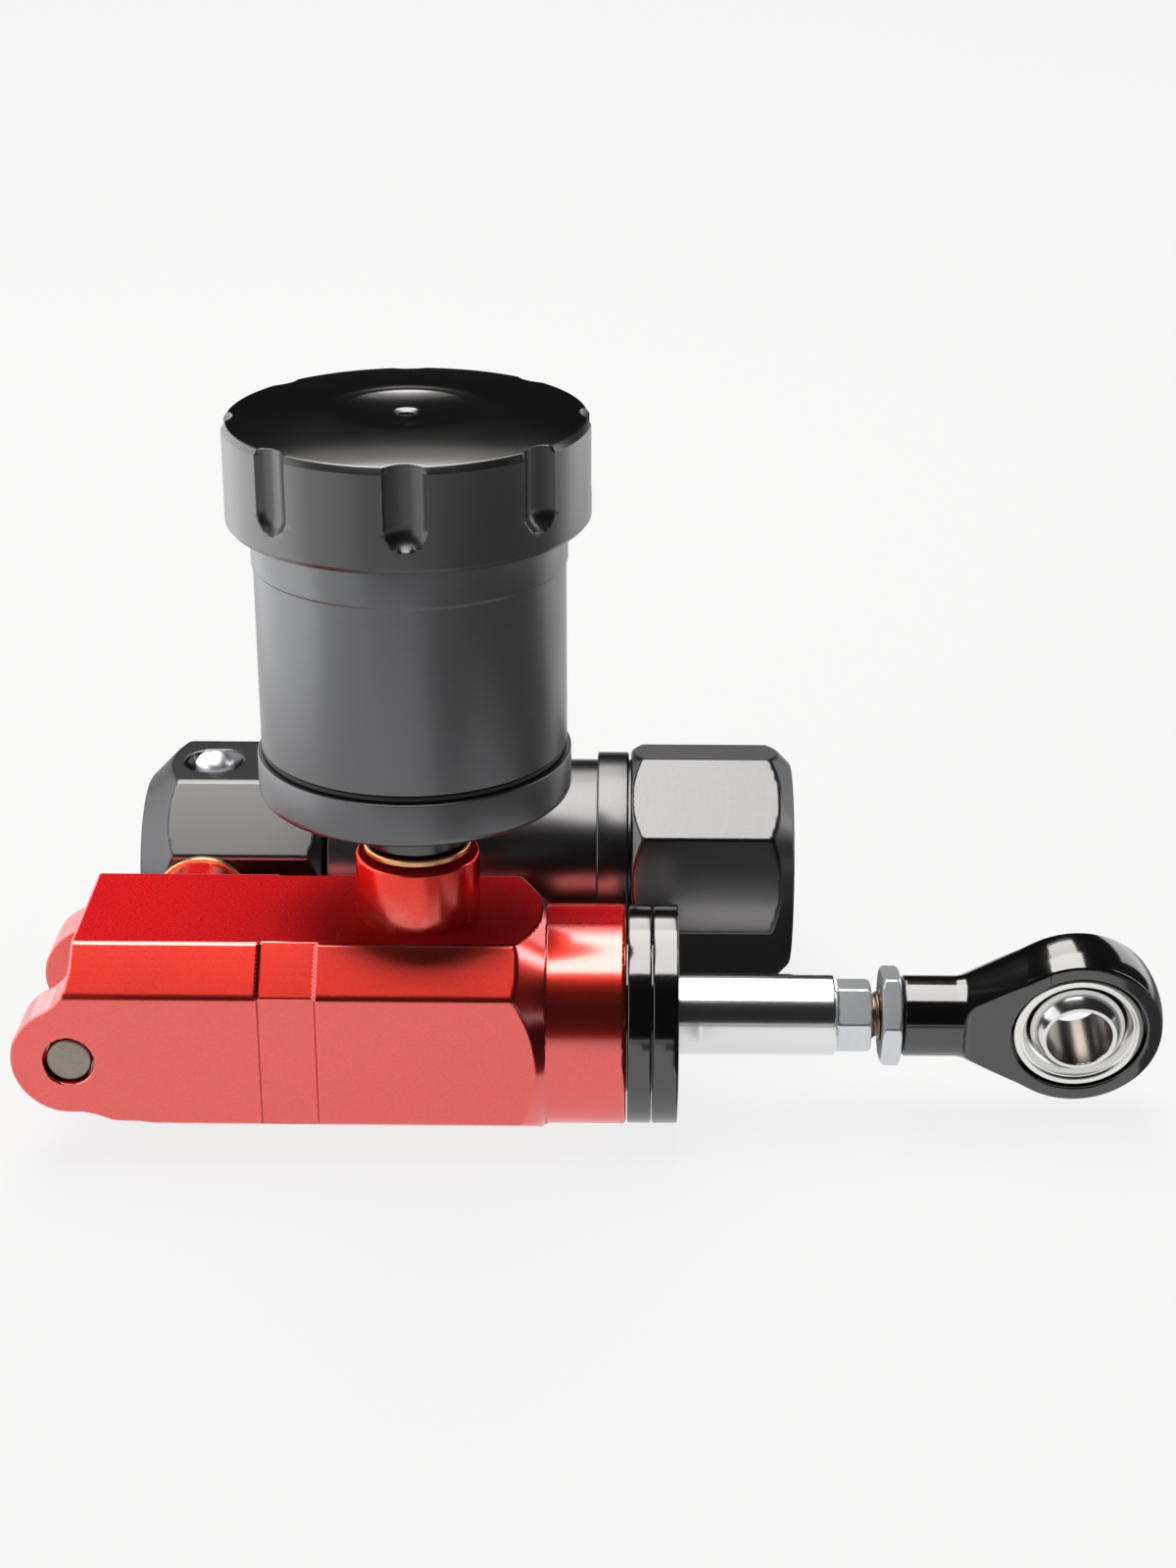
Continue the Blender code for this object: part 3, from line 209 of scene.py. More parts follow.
facing_up, given, made = new_group("facing_up", [("Start", "NodeSocketFloat", 0.93)], ["Mask"])
outward = facing_up.nodes.new("ShaderNodeTexCoord").outputs["Normal"]
upward = vector_of(facing_up, "DOT_PRODUCT", outward, (0, 0, 1)).outputs["Value"]
feed(facing_up, made["Mask"], spread(facing_up, upward, given["Start"], LEVEL, 0.0, 1.0))
print("groups:", [group.name for group in bpy.data.node_groups])


# %% [markdown]
# ## One recipe for all finishes
# Every finish here is a Principled shader with a base colour that the marks darken, a roughness that the
# smudges move, and a bump that the marks and the grain raise. What is the same all over a surface, such
# as the tint, is set on the shader's own sockets. A finish that has another colour on its upper faces
# also loses its clear coat and its metal there. Finishes that share most values start from one set.

# %% The finish recipe
class Finish:
    """What one finish looks like, before it is given to a piece."""

    def __init__(self, colour, rough, metallic, dark=0.75, lines=9000.0, line_share=0.3, line_bump=0.0,
                 grain=0.0, grain_share=0.0, grain_bump=0.0, rough_span=0.03, wear=None, ior=1.5,
                 tint=(1, 1, 1), upper=None, rough_side=None, coat=1.0):
        self.colour, self.rough, self.metallic, self.dark = colour, rough, metallic, dark
        self.lines, self.line_share, self.line_bump = lines, line_share, line_bump
        self.grain, self.grain_share, self.grain_bump = grain, grain_share, grain_bump
        self.rough_span, self.wear, self.ior, self.tint, self.upper = rough_span, wear, ior, tint, upper
        self.rough_side, self.coat = rough_side, coat


# Each wear colour lightens sharp edges: rubbed wear plus a painted edge highlight.
RED = dict(colour=(0.86, 0.028, 0.012), rough=0.28, metallic=1.0, dark=0.40, line_share=0.0, grain=3000.0,
           grain_share=0.75, grain_bump=0.000005, wear=((0.9, 0.35, 0.28), 0.5), ior=1.04,
           tint=(1.0, 0.25, 0.25), upper=(0.54, 0.009, 0.012))
BLACK = dict(colour=(0.002, 0.002, 0.0022), rough=0.11, metallic=0.0, lines=16000.0, line_share=0.2,
             wear=((0.2, 0.2, 0.21), 0.35), ior=1.95)
FINISHES = {
    "red_anodised": Finish(**RED),
    "red_turned": Finish(**RED, coat=0.3),
    "black_anodised": Finish(**BLACK),
    "cap_black": Finish(**BLACK, rough_side=0.3),
    "grey_anodised": Finish((0.145, 0.147, 0.152), 0.33, 1.0, dark=0.85, lines=16000.0, line_share=0.3,
                            line_bump=0.000001, wear=((0.35, 0.35, 0.36), 0.4)),
    "satin_black": Finish((0.110, 0.110, 0.113), 0.26, 1.0, dark=0.8, lines=14000.0, line_share=0.2,
                          grain=3500.0, grain_share=0.25, wear=((0.35, 0.35, 0.36), 0.4),
                          tint=(0.5, 0.5, 0.5)),
    "chrome": Finish((0.80, 0.80, 0.81), 0.18, 1.0, dark=0.93, lines=9000.0, line_share=0.25),
    "steel": Finish((0.50, 0.48, 0.44), 0.30, 1.0, lines=6000.0, line_share=0.4, line_bump=0.000004,
                    grain=2500.0, grain_share=0.35),
    "zinc": Finish((0.70, 0.73, 0.77), 0.36, 1.0, dark=0.85, lines=9000.0, line_share=0.3, grain=2500.0,
                   grain_share=0.3),
    "race": Finish((0.86, 0.85, 0.81), 0.16, 1.0, dark=0.9, lines=9000.0, line_share=0.3),
    "pin": Finish((0.33, 0.30, 0.25), 0.42, 1.0, dark=0.7, lines=7000.0, line_share=0.3, grain=2600.0,
                  grain_share=0.5, grain_bump=0.000006),
    "thread": Finish((0.40, 0.31, 0.22), 0.30, 1.0, lines=9000.0, line_share=0.2, grain=2500.0,
                     grain_share=0.4),
    # The bore finish is a darker steel: painted shade inside the ball's hole.
    "bore": Finish((0.17, 0.15, 0.13), 0.28, 1.0, lines=9000.0, line_share=0.4),
    "copper": Finish((0.80, 0.40, 0.18), 0.26, 1.0, lines=5000.0, line_share=0.4, line_bump=0.000004),
    "bronze": Finish((0.55, 0.40, 0.22), 0.35, 1.0, lines=5000.0, line_share=0.3, grain=3000.0,
                     grain_share=0.4),
    "aluminium": Finish((0.66, 0.67, 0.68), 0.28, 1.0, lines=6000.0, line_share=0.4, line_bump=0.000004),
    "rubber": Finish((0.018, 0.018, 0.018), 0.65, 0.0, line_share=0.0, grain=2500.0, grain_share=0.4,
                     grain_bump=0.00001),
    "silicone": Finish((0.60, 0.10, 0.035), 0.50, 0.0, line_share=0.0, grain=1800.0, grain_share=0.3,
                       grain_bump=0.000008),
    "polyurethane": Finish((0.62, 0.33, 0.04), 0.38, 0.0, line_share=0.0, grain=900.0, grain_share=0.3,
                           grain_bump=0.00001),
}
COAT_IOR, COAT_ROUGH, SLOW_TONE = 2.1, 0.15, 0.4
print("finishes:", len(FINISHES))


def shade_with(tree, group, **values):
    """Place a node group in a material, with its own values."""
    node = tree.nodes.new("ShaderNodeGroup")
    node.node_tree = group
    for label, value in values.items():
        node.inputs[label.replace("_", " ")].default_value = value
    return node.outputs


def finished(slot, centre=(0, 0, 0), along=(0, 0, 1)):
    """The material of a finish, for a piece turned about that axis (in millimetres)."""
    name = "%s_%s" % (slot, "_".join("%d" % round(10 * value) for value in (*centre, *along)))
    if name in bpy.data.materials:
        return bpy.data.materials[name]
    look = FINISHES[slot]
    material = bpy.data.materials.new(name)
    material.use_nodes = True
    tree = material.node_tree
    shader = tree.nodes["Principled BSDF"]
    shader.inputs["Metallic"].default_value = look.metallic
    shader.inputs["IOR"].default_value = look.ior
    shader.inputs["Specular Tint"].default_value = (*look.tint, 1.0)
    colour = (*look.colour, 1.0)
    darker = tuple(value * look.dark for value in look.colour) + (1.0,)
    height = None
    grain_share = look.grain_share
    if look.upper:
        upper = shade_with(tree, facing_up)["Mask"]
        colour = mixed(tree, upper, colour, (*look.upper, 1.0))
        darker = mixed(tree, upper, darker, tuple(value * look.dark for value in look.upper) + (1.0,))
        grain_share = spread(tree, upper, 0.0, 1.0, look.grain_share / 3, look.grain_share)
        not_upper = sum_of(tree, "SUBTRACT", 1.0, upper)
        feed(tree, shader.inputs["Coat Weight"], sum_of(tree, "MULTIPLY", not_upper, look.coat))
        feed(tree, shader.inputs["Metallic"], not_upper)
        shader.inputs["Coat IOR"].default_value = COAT_IOR
        shader.inputs["Coat Roughness"].default_value = COAT_ROUGH
    if look.line_share:
        marks = shade_with(tree, turning_marks, Centre=Vector(centre) * MM, Along=along,
                           Lines_per_metre=look.lines)
        slow = sum_of(tree, "MULTIPLY", marks["Tone"], SLOW_TONE)
        share = sum_of(tree, "MULTIPLY", sum_of(tree, "ADD", marks["Line"], slow), look.line_share)
        colour = mixed(tree, share, colour, darker)
        if look.line_bump:
            height = sum_of(tree, "MULTIPLY", marks["Line"], look.line_bump)
    if look.grain:
        grain = shade_with(tree, blasted_grain, Grains_per_metre=look.grain)
        colour = mixed(tree, sum_of(tree, "MULTIPLY", grain["Speckle"], grain_share), colour, darker)
        if look.grain_bump:
            bumps = sum_of(tree, "MULTIPLY", grain["Height"], look.grain_bump)
            height = bumps if height is None else sum_of(tree, "ADD", height, bumps)
    # Lighter sharp edges: partly rubbed wear, partly a painted highlight.
    if look.wear:
        edge_wear_and_highlight_mask = shade_with(tree, wear_and_edge_highlight)["Mask"]
        colour = mixed(tree, sum_of(tree, "MULTIPLY", edge_wear_and_highlight_mask, look.wear[1]), colour, (*look.wear[0], 1.0))
    smudge = shade_with(tree, smudges)["Smudge"]
    low, high = look.rough - look.rough_span / 2, look.rough + look.rough_span / 2
    rough = spread(tree, smudge, 0.0, 1.0, low, high)
    if look.rough_side:
        flank = sum_of(tree, "SUBTRACT", 1.0, shade_with(tree, facing_up)["Mask"])
        rough = sum_of(tree, "MULTIPLY_ADD", flank, look.rough_side - look.rough, rough)
    feed(tree, shader.inputs["Roughness"], rough)
    feed(tree, shader.inputs["Base Color"], colour)
    if height is not None:
        bump = tree.nodes.new("ShaderNodeBump")
        bump.inputs["Distance"].default_value = 1.0
        feed(tree, bump.inputs["Height"], height)
        feed(tree, shader.inputs["Normal"], bump.outputs["Normal"])
    return material


# %% [markdown]
# ## Pieces that stand for the solids
# A fine piece replaces its solid, rides on the same body and takes its material. Doing all of that in
# one function means that no piece can be forgotten. The same function keeps where the edges are: at an
# outer edge, the lines to a point's neighbours lean away from its normal.
# Geometry's Pointiness does the same, but it takes points of so small a part for one and draws false lines.

# %% Putting a fine piece in place
def mark_edges(mesh):
    """Keep how far each point stands out from its neighbours: 0.5 is flat, and more is an outer edge."""
    count = len(mesh.vertices)
    spots, outward = np.empty(3 * count), np.empty(3 * count)
    mesh.vertices.foreach_get("co", spots)
    mesh.vertices.foreach_get("normal", outward)
    spots, outward = spots.reshape(-1, 3), outward.reshape(-1, 3)
    ends = np.empty(2 * len(mesh.edges), dtype=int)
    mesh.edges.foreach_get("vertices", ends)
    first, second = ends.reshape(-1, 2).T
    way = spots[second] - spots[first]
    way /= np.maximum(np.linalg.norm(way, axis=1), 1e-12)[:, None]
    total, hits = np.zeros((count, 3)), np.zeros(count)
    for here, sign in ((first, 1), (second, -1)):
        np.add.at(total, here, sign * way)
        np.add.at(hits, here, 1)
    lean = (outward * total).sum(1) / np.maximum(hits, 1)
    kept = mesh.attributes.new("edge", "FLOAT", "POINT")
    kept.data.foreach_set("value", np.arccos(np.clip(lean, -1, 1)) / math.pi)


def settle(mesh, node, material, name=None):
    """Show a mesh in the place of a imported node."""
    piece = bpy.data.objects.new((name or node) + "_fine", mesh)
    bpy.context.scene.collection.objects.link(piece)
    mark_edges(mesh)
    mesh.materials.clear()
    mesh.materials.append(material)
    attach(piece, BODY_OF[node])
    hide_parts(node)
    return piece


# %% [markdown]
# ## Turned pieces
# A lathe piece is its profile swept around the axis. Real edges are never perfectly sharp, and it is the
# tiny rounds that catch the light, so a corner of the profile may name a fillet. The profile is then
# swept in 160 steps, or 96 for small pieces, which is smooth even in a close view.

# %% Lathe
TURN = {
    "X": Matrix(((0, 0, 1), (1, 0, 0), (0, 1, 0))),
    "Y": Matrix(((1, 0, 0), (0, 0, 1), (0, -1, 0))),
    "Z": Matrix.Identity(3),
}
AXIS_OF = {"X": (1, 0, 0), "Y": (0, 1, 0), "Z": (0, 0, 1)}
STEPS = 160
SHARP = math.radians(32)


def filleted(corners, closed, pieces=5):
    """Profile points from (radius, height, fillet) corners; the fillet may be left out."""
    points = []
    count = len(corners)
    for i, corner in enumerate(corners):
        here = Vector(corner[:2])
        size = corner[2] if len(corner) > 2 else 0.0
        if not size or (not closed and i in (0, count - 1)):
            points.append(here)
            continue
        back = (Vector(corners[i - 1][:2]) - here).normalized()
        ahead = (Vector(corners[(i + 1) % count][:2]) - here).normalized()
        half = back.angle(ahead) / 2
        reach = size / math.tan(half)
        centre = here + (back + ahead).normalized() * size / math.sin(half)
        start, stop = here + back * reach - centre, here + ahead * reach - centre
        bend = start.angle_signed(stop)
        for k in range(pieces + 1):
            turn = -bend * k / pieces
            points.append(centre + Matrix.Rotation(turn, 2) @ start)
    return points


def lathe(node, corners, along="Z", at=(0, 0, 0), steps=STEPS, material=None, roll=0.0, angles=None,
          trim=None, name=None):
    """Turn a profile into a fine piece; a profile that stays off the axis is closed.

    A trim gives the radius that is left at a radius, height and angle.
    """
    closed = min(corner[0] for corner in corners) > 0
    profile = filleted(corners, closed)
    turned = bmesh.new()
    rows = []
    angles = angles or [2 * math.pi * k / steps for k in range(steps)]
    steps = len(angles)
    for point in profile:
        if point.x < 1e-6:
            rows.append([turned.verts.new((0, 0, point.y))] * steps)
            continue
        left = [trim(point.x, point.y, angle) if trim else point.x for angle in angles]
        rows.append([turned.verts.new((r * math.cos(angle), r * math.sin(angle), point.y))
                     for r, angle in zip(left, angles)])
    pairs = list(zip(rows, rows[1:])) + ([(rows[-1], rows[0])] if closed else [])
    for first, second in pairs:
        for k in range(steps):
            loop = [first[k], second[k], second[(k + 1) % steps], first[(k + 1) % steps]]
            corners_left = list(dict.fromkeys(loop))
            if len(corners_left) > 2:
                turned.faces.new(corners_left)
    bmesh.ops.recalc_face_normals(turned, faces=turned.faces)
    mesh = bpy.data.meshes.new(node + "_fine")
    turned.to_mesh(mesh)
    turned.free()
    spin = Matrix.Rotation(math.radians(roll), 3, "X") @ TURN[along]
    mesh.transform(Matrix.Translation(Vector(at) * MM) @ spin.to_4x4() @ Matrix.Scale(MM, 4))
    mesh.shade_smooth()
    mesh.set_sharp_from_angle(angle=SHARP)
    print(name or node, "points:", len(mesh.vertices))
    direction = Matrix.Rotation(math.radians(roll), 3, "X") @ Vector(AXIS_OF[along])
    return settle(mesh, node, material or finished(SLOT_OF[node], at, tuple(direction)), name)


def bar(inner, outer, low, high, edge=0.3):
    """Profile of a ring, or of a solid bar where the inner radius is zero."""
    if not inner:
        return [(0, high), (outer, high, edge), (outer, low, edge), (0, low)]
    return [(outer, high, edge), (outer, low, edge), (inner, low), (inner, high)]


# %% [markdown]
# ## Carved pieces
# The body, the slave's block and cap, the rod, its nut and the rod end are milled or forged: flats, cones,
# pockets and small rounds meet all over them. Booleans and bevels break on such meetings. A distance
# field doesn't: each shape is a formula for the distance to its surface, the larger of two distances cuts
# one shape by the other, and a rounded version of "larger" rounds that edge. A surface net then finds the
# surface on a grid, and a few steps along the slope pull each point onto it, with the slope as its normal.

# %% Distance fields to meshes
def cut(first, second, edge=0.25):
    """The part that two shapes share, with the edge between them rounded."""
    corner = np.hypot(np.maximum(first + edge, 0), np.maximum(second + edge, 0))
    return np.minimum(np.maximum(first, second), -edge) + corner


def join(first, second, fillet=0.5):
    """Two shapes in one, with a fillet where they meet."""
    return -cut(-first, -second, fillet)


def outline_distance(points, across, up):
    """Distance from a closed outline, negative inside it."""
    nearest, inside = 1e9, False
    for (ax, ay), (bx, by) in zip(points, points[1:] + points[:1]):
        ex, ey = bx - ax, by - ay
        share = np.clip(((across - ax) * ex + (up - ay) * ey) / (ex * ex + ey * ey), 0, 1)
        nearest = np.minimum(nearest, (across - ax - share * ex) ** 2 + (up - ay - share * ey) ** 2)
        if ey:
            inside = inside ^ (((ay > up) != (by > up)) & (across < ex * (up - ay) / ey + ax))
    return np.where(inside, -1.0, 1.0) * np.sqrt(nearest)


def net_surface(values):
    """Points (in cells) and quads of the zero surface of a grid of distances."""
    inside = values < 0
    size = np.array(values.shape) - 1
    corners = [np.array(c) for c in np.ndindex(2, 2, 2)]
    filled = sum(inside[tuple(slice(c[a], c[a] + size[a]) for a in range(3))].astype(np.int8)
                 for c in corners)
    active = (filled > 0) & (filled < 8)
    index = np.full(active.shape, -1)
    index[active] = np.arange(active.sum())
    cells = np.argwhere(active)
    total, hits = np.zeros(cells.shape), np.zeros((len(cells), 1))
    quads = []
    for axis in range(3):
        step = np.eye(3, dtype=int)[axis]
        side, over = (axis + 1) % 3, (axis + 2) % 3
        for corner in corners:
            if corner[axis]:
                continue
            start = cells + corner
            low, high = values[tuple(start.T)], values[tuple((start + step).T)]
            crossing = ((low < 0) != (high < 0))[:, None]
            share = np.divide(low, low - high, out=np.zeros_like(low), where=crossing[:, 0])
            total += np.where(crossing, start + share[:, None] * step, 0)
            hits += crossing
        low = np.take(inside, range(size[axis]), axis)
        edges = np.argwhere(low != np.take(inside, range(1, size[axis] + 1), axis))
        edges = edges[(edges[:, side] > 0) & (edges[:, over] > 0)]
        around = [edges - a * np.eye(3, dtype=int)[side] - b * np.eye(3, dtype=int)[over]
                  for a, b in ((0, 0), (1, 0), (1, 1), (0, 1))]
        quad = np.stack([index[tuple(spot.T)] for spot in around], 1)
        leaving = low[tuple(edges.T)]
        quads.append(np.where(leaving[:, None], quad, quad[:, ::-1]))
    return total / hits, np.concatenate(quads)


def slope(field, points, step=0.01):
    """The direction in which a field grows, at each point."""
    grown = []
    for axis in range(3):
        ahead, behind = points.copy(), points.copy()
        ahead[:, axis] += step
        behind[:, axis] -= step
        grown.append((field(*ahead.T) - field(*behind.T)) / (2 * step))
    return np.stack(grown, 1)


PULLS, LEAST_STEEP = 3, 0.2


def carve(node, field, low, high, cell, material, frame_matrix=None):
    """Make a fine piece from a distance field in millimetres, inside the given box."""
    low, high = np.array(low, float), np.array(high, float)
    count = np.ceil((high - low) / cell).astype(int) + 1
    lines = [low[a] + cell * np.arange(count[a]) for a in range(3)]
    values = field(lines[0][:, None, None], lines[1][None, :, None], lines[2][None, None, :])
    spots, quads = net_surface(np.broadcast_to(values, count))
    points = low + cell * spots
    for _ in range(PULLS):
        grown = slope(field, points)
        steep = np.maximum((grown ** 2).sum(1), LEAST_STEEP)
        move = grown * (field(*points.T) / steep)[:, None]
        points -= np.clip(move, -cell / 2, cell / 2)
    normals = slope(field, points)
    normals /= np.maximum(np.linalg.norm(normals, axis=1), 1e-9)[:, None]
    mesh = bpy.data.meshes.new(node + "_fine")
    turn = np.array(frame_matrix or Matrix.Identity(4))
    mesh.from_pydata((points @ turn[:3, :3].T + turn[:3, 3]) * MM, [], quads.tolist())
    mesh.shade_smooth()
    mesh.normals_split_custom_set_from_vertices(normals @ turn[:3, :3].T)
    print(node, "points:", len(points), "quads:", len(quads))
    return settle(mesh, node, material)


# %% [markdown]
# ## The red body
# The body is a bar with chamfered upper edges, milled to a fork at one end and turned to a round nose at
# the other. The cone between them leaves curved edges on the flats. A shallow band crosses the sides and
# the chamfers, and two bosses take the reservoir and the port. All but the upper boss is one field, from
# the same sizes as the solid. The upper boss is round and stands alone, so it is turned, which costs fewer
# points, and its turned finish has a thinner coat.

# %% Red body
AXIS_Z = 13.8
PIN = (-41.3, 0.6)
ROOT_HALF = math.sqrt(0.5)
BODY_HALF, BODY_TOP, CHAMFER_SUM, NOSE = 14.75, 14.2, 23.95, 13.6
BAND_AT, BAND_HALF, BAND_DEEP = -15.0, 3.4, 0.28
PORT_X, PORT_UP, BOSS, BOSS_TOP, STEM_HOLE = -30.0, 4.0, 7.5, 22.2, 4.2
EAR, NECK_FILLET, NECK_X, HEEL_X, HEEL_LONG = 6.995, 6.0, -47.0, -40.0, 4.8


def swing(centre, radius, start, end, points=18):
    """Points along an arc, with angles in degrees."""
    return [(centre[0] + radius * math.cos(math.radians(start + (end - start) * i / (points - 1))),
             centre[1] + radius * math.sin(math.radians(start + (end - start) * i / (points - 1))))
            for i in range(points)]


def fork_side():
    """Side outline of the fork end over the bore's axis: neck, lug, heel and toe."""
    fillet = (NECK_X, PIN[1] + math.sqrt(13.0 ** 2 - (NECK_X - PIN[0]) ** 2))
    meet = math.degrees(math.atan2(fillet[1] - PIN[1], fillet[0] - PIN[0]))
    heel = []
    for i in range(12):
        ease = (1 - math.cos(math.pi * i / 11)) / 2
        heel.append((HEEL_X + HEEL_LONG * i / 11, -6.4 - 1.2 * ease))
    return ([(40, 22), (-41, 22)] + swing(fillet, NECK_FILLET, 0, meet - 180)
            + swing(PIN, EAR, meet, 270, 40)[1:] + heel
            + swing((-33.6, -11.0), 3.4, 90, 0)[1:] + [(-30.2, -22), (40, -22)])


FORK_SIDE = fork_side()


def body_field(x, y, z):
    """Distance to the red body without its upper boss."""
    up, side = z - AXIS_Z, np.abs(y)
    reach = np.hypot(y, up)
    sides = cut(side - BODY_HALF, (side + up - CHAMFER_SUM) * ROOT_HALF, 0.3)
    flats = cut(sides, up - BODY_TOP, 0.3)
    flats = cut(flats, (6.2 * (side - BODY_HALF) - 10.45 * (up + 7.6)) / 12.151, 0.4)
    flats = cut(flats, -up - 13.8, 0.4)
    shape = cut(flats, outline_distance(FORK_SIDE, x, up), 0.35)
    shape = cut(shape, join(reach - NOSE, (reach - NOSE + x - 15.65) * ROOT_HALF, 0.05), 0.25)
    shape = cut(shape, x - 25.4, 0.5)
    shape = cut(shape, join(BAND_HALF - np.abs(x - BAND_AT), sides + BAND_DEEP, 0.1), 0.12)
    line = np.hypot(x - PORT_X, up - PORT_UP)
    port = np.maximum(cut(line - 6.1, y - 21.75, 0.4), 8.0 - y)
    shape = join(shape, port, 0.1)
    bore = np.minimum(np.maximum(reach - 8.0, -31.2 - x), np.maximum(reach - 10.0, 20.8 - x))
    stem = np.hypot(x, y)
    feed_hole = np.minimum(np.maximum(stem - STEM_HOLE, 13.1 - up), np.maximum(stem - 1.2, -up))
    port_hole = np.minimum(np.maximum(line - 4.2, 16.85 - y), np.maximum(line - 1.6, -y))
    shape = cut(shape, -np.minimum(np.minimum(bore, feed_hole), port_hole), 0.2)
    slot = cut(side - 7.75, np.hypot(x + 55.2, up - 0.6) - 19.5, 0.6)
    shape = cut(shape, -slot, 0.3)
    return cut(shape, 3.05 - np.hypot(x - PIN[0], up - PIN[1]), 0.22)


carve("master_body", body_field, (-49.5, -15.8, -1.0), (26.6, 22.9, 29.2), 0.4, finished("red_anodised"))


def raised(corners):
    """A profile whose heights are given over the bore's axis."""
    return [(corner[0], AXIS_Z + corner[1], *corner[2:]) for corner in corners]


lathe("master_body", raised([(BOSS, BOSS_TOP, 0.45), (BOSS, NOSE), (STEM_HOLE, NOSE),
                             (STEM_HOLE, BOSS_TOP, 0.2)]),
      material=finished("red_turned"), name="master_body_boss")

# %% [markdown]
# ## Clevis pin, gland and the seals around the rod
# These are plain turned pieces. The lock ring and the gland nut sit close together, so that a thin
# groove shows between them, and both keep a small round on their rims.

# %% Pin, gland, bush and wiper
BORE_AT = (0, 0, AXIS_Z)
PIN_AT = (PIN[0], 0, AXIS_Z + PIN[1])
lathe("clevis_pin", bar(0, 2.75, -14.35, 14.35, 0.4), "Y", PIN_AT, 96, finished("pin", PIN_AT, (0, 1, 0)))
lathe("gland_lock_ring", bar(10.0, 13.5, 25.55, 28.45, 0.25), "X", BORE_AT)
lathe("gland_nut", [
    (13.5, 31.7, 0.25), (13.5, 28.6, 0.25), (9.7, 28.6), (9.7, 23.7), (8.4, 23.7), (8.4, 22.1), (9.7, 22.1),
    (9.7, 21.1, 0.3), (6.5, 21.1), (6.5, 28.7), (5.6, 28.7), (5.6, 29.3), (7.0, 29.3), (7.0, 31.7, 0.2)],
      "X", BORE_AT)
lathe("gland_o_ring", [(9.2 + 0.5 * math.cos(a * math.pi / 8), 22.9 + 0.5 * math.sin(a * math.pi / 8))
                       for a in range(16)], "X", BORE_AT, 96)
lathe("rod_guide_bush", bar(5.3, 6.2, 21.4, 28.4, 0.15), "X", BORE_AT, 96)
lathe("rod_wiper", bar(5.3, 6.7, 29.6, 31.4, 0.4), "X", BORE_AT, 96)

# %% [markdown]
# ## Inside the master bore
# Nothing here shows until the unit is taken apart, but the piston, its rubber cups and the spring are
# what makes it a working cylinder. The spring is a wire wound along a helix; it shortens as the rod goes
# in.

# %% Piston, cups, seat and return spring
lathe("piston", [
    (0, 13.4), (3.3, 13.4), (3.3, 20.8), (7.7, 20.8, 0.4), (7.7, 18.4, 0.2), (5.3, 18.4), (5.3, 14.6),
    (7.7, 14.6, 0.2), (7.7, 12.2, 0.2), (5.3, 12.2), (5.3, 7.1), (7.7, 7.1, 0.2), (7.7, 4.7, 0.2), (4.0, 4.7),
    (4.0, -0.3), (0, -0.3)], "X", BORE_AT, 96)
lathe("primary_cup", bar(4.3, 7.7, 1.2, 4.4, 0.4), "X", BORE_AT, 96)
lathe("secondary_cup", bar(5.6, 7.7, 14.9, 18.1, 0.4), "X", BORE_AT, 96)
lathe("spring_seat", bar(4.3, 7.0, -0.3, 0.9, 0.2), "X", BORE_AT, 96)


def wound_wire(node, radius, wire, low, high, turns):
    """A wire wound about the bore's axis, as a mesh tube with closed ends."""
    per_turn, sides = 40, 12
    count = turns * per_turn
    spots, faces = [], []
    for i in range(count + 1):
        angle = 2 * math.pi * i / per_turn
        along = low + wire + (high - low - 2 * wire) * i / count
        out = Vector((0, math.cos(angle), math.sin(angle)))
        for k in range(sides):
            lean = 2 * math.pi * k / sides
            centre = Vector((along + wire * math.sin(lean), 0, AXIS_Z))
            spots.append(centre + out * (radius + wire * math.cos(lean)))
    for i in range(count):
        for k in range(sides):
            a, b = i * sides + k, i * sides + (k + 1) % sides
            faces.append((a, a + sides, b + sides, b))
    faces += [tuple(range(sides)), tuple(range(count * sides + sides - 1, count * sides - 1, -1))]
    mesh = bpy.data.meshes.new(node + "_fine")
    mesh.from_pydata([spot * MM for spot in spots], [], faces)
    shell = bmesh.new()
    shell.from_mesh(mesh)
    bmesh.ops.recalc_face_normals(shell, faces=shell.faces)
    shell.to_mesh(mesh)
    shell.free()
    mesh.shade_smooth()
    mesh.set_sharp_from_angle(angle=math.radians(60))
    return settle(mesh, node, finished("steel", BORE_AT, (1, 0, 0)))


SPRING_LOW, SPRING_HIGH, ROD_STROKE = -30.9, -0.6, 12.0
spring = wound_wire("return_spring", 5.4, 0.7, SPRING_LOW, SPRING_HIGH, 7)
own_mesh(spring)
print("spring keeps", round(1 - ROD_STROKE / (SPRING_HIGH - SPRING_LOW), 3), "of its length")

# %% [markdown]
# ## Pushrod, jam nut and rod end
# The rod is hard chrome with a hexagon neck for a spanner and a thread that the rod end screws onto.
# The thread is a helix in the field: its radius rises and falls once per pitch around the stub. A field
# has one finish, so the neck and the thread get theirs afterwards, by where a face lies along the rod.

# %% Pushrod and jam nut
HEX_ROLL = math.radians(-10)
ROD, NECK_FROM, THREAD_FROM, NUT_AT = 5.0, 51.4, 55.6, 57.9


def across_flats(y, up, flats, sides, roll):
    """Distance to a bar with that many flats; a flat faces up at no roll."""
    distance = -1e9
    for k in range(sides):
        angle = math.pi / 2 + roll + 2 * math.pi * k / sides
        flat = y * math.cos(angle) + up * math.sin(angle) - flats / 2
        distance = flat if k == 0 else cut(distance, flat, 0.15)
    return distance


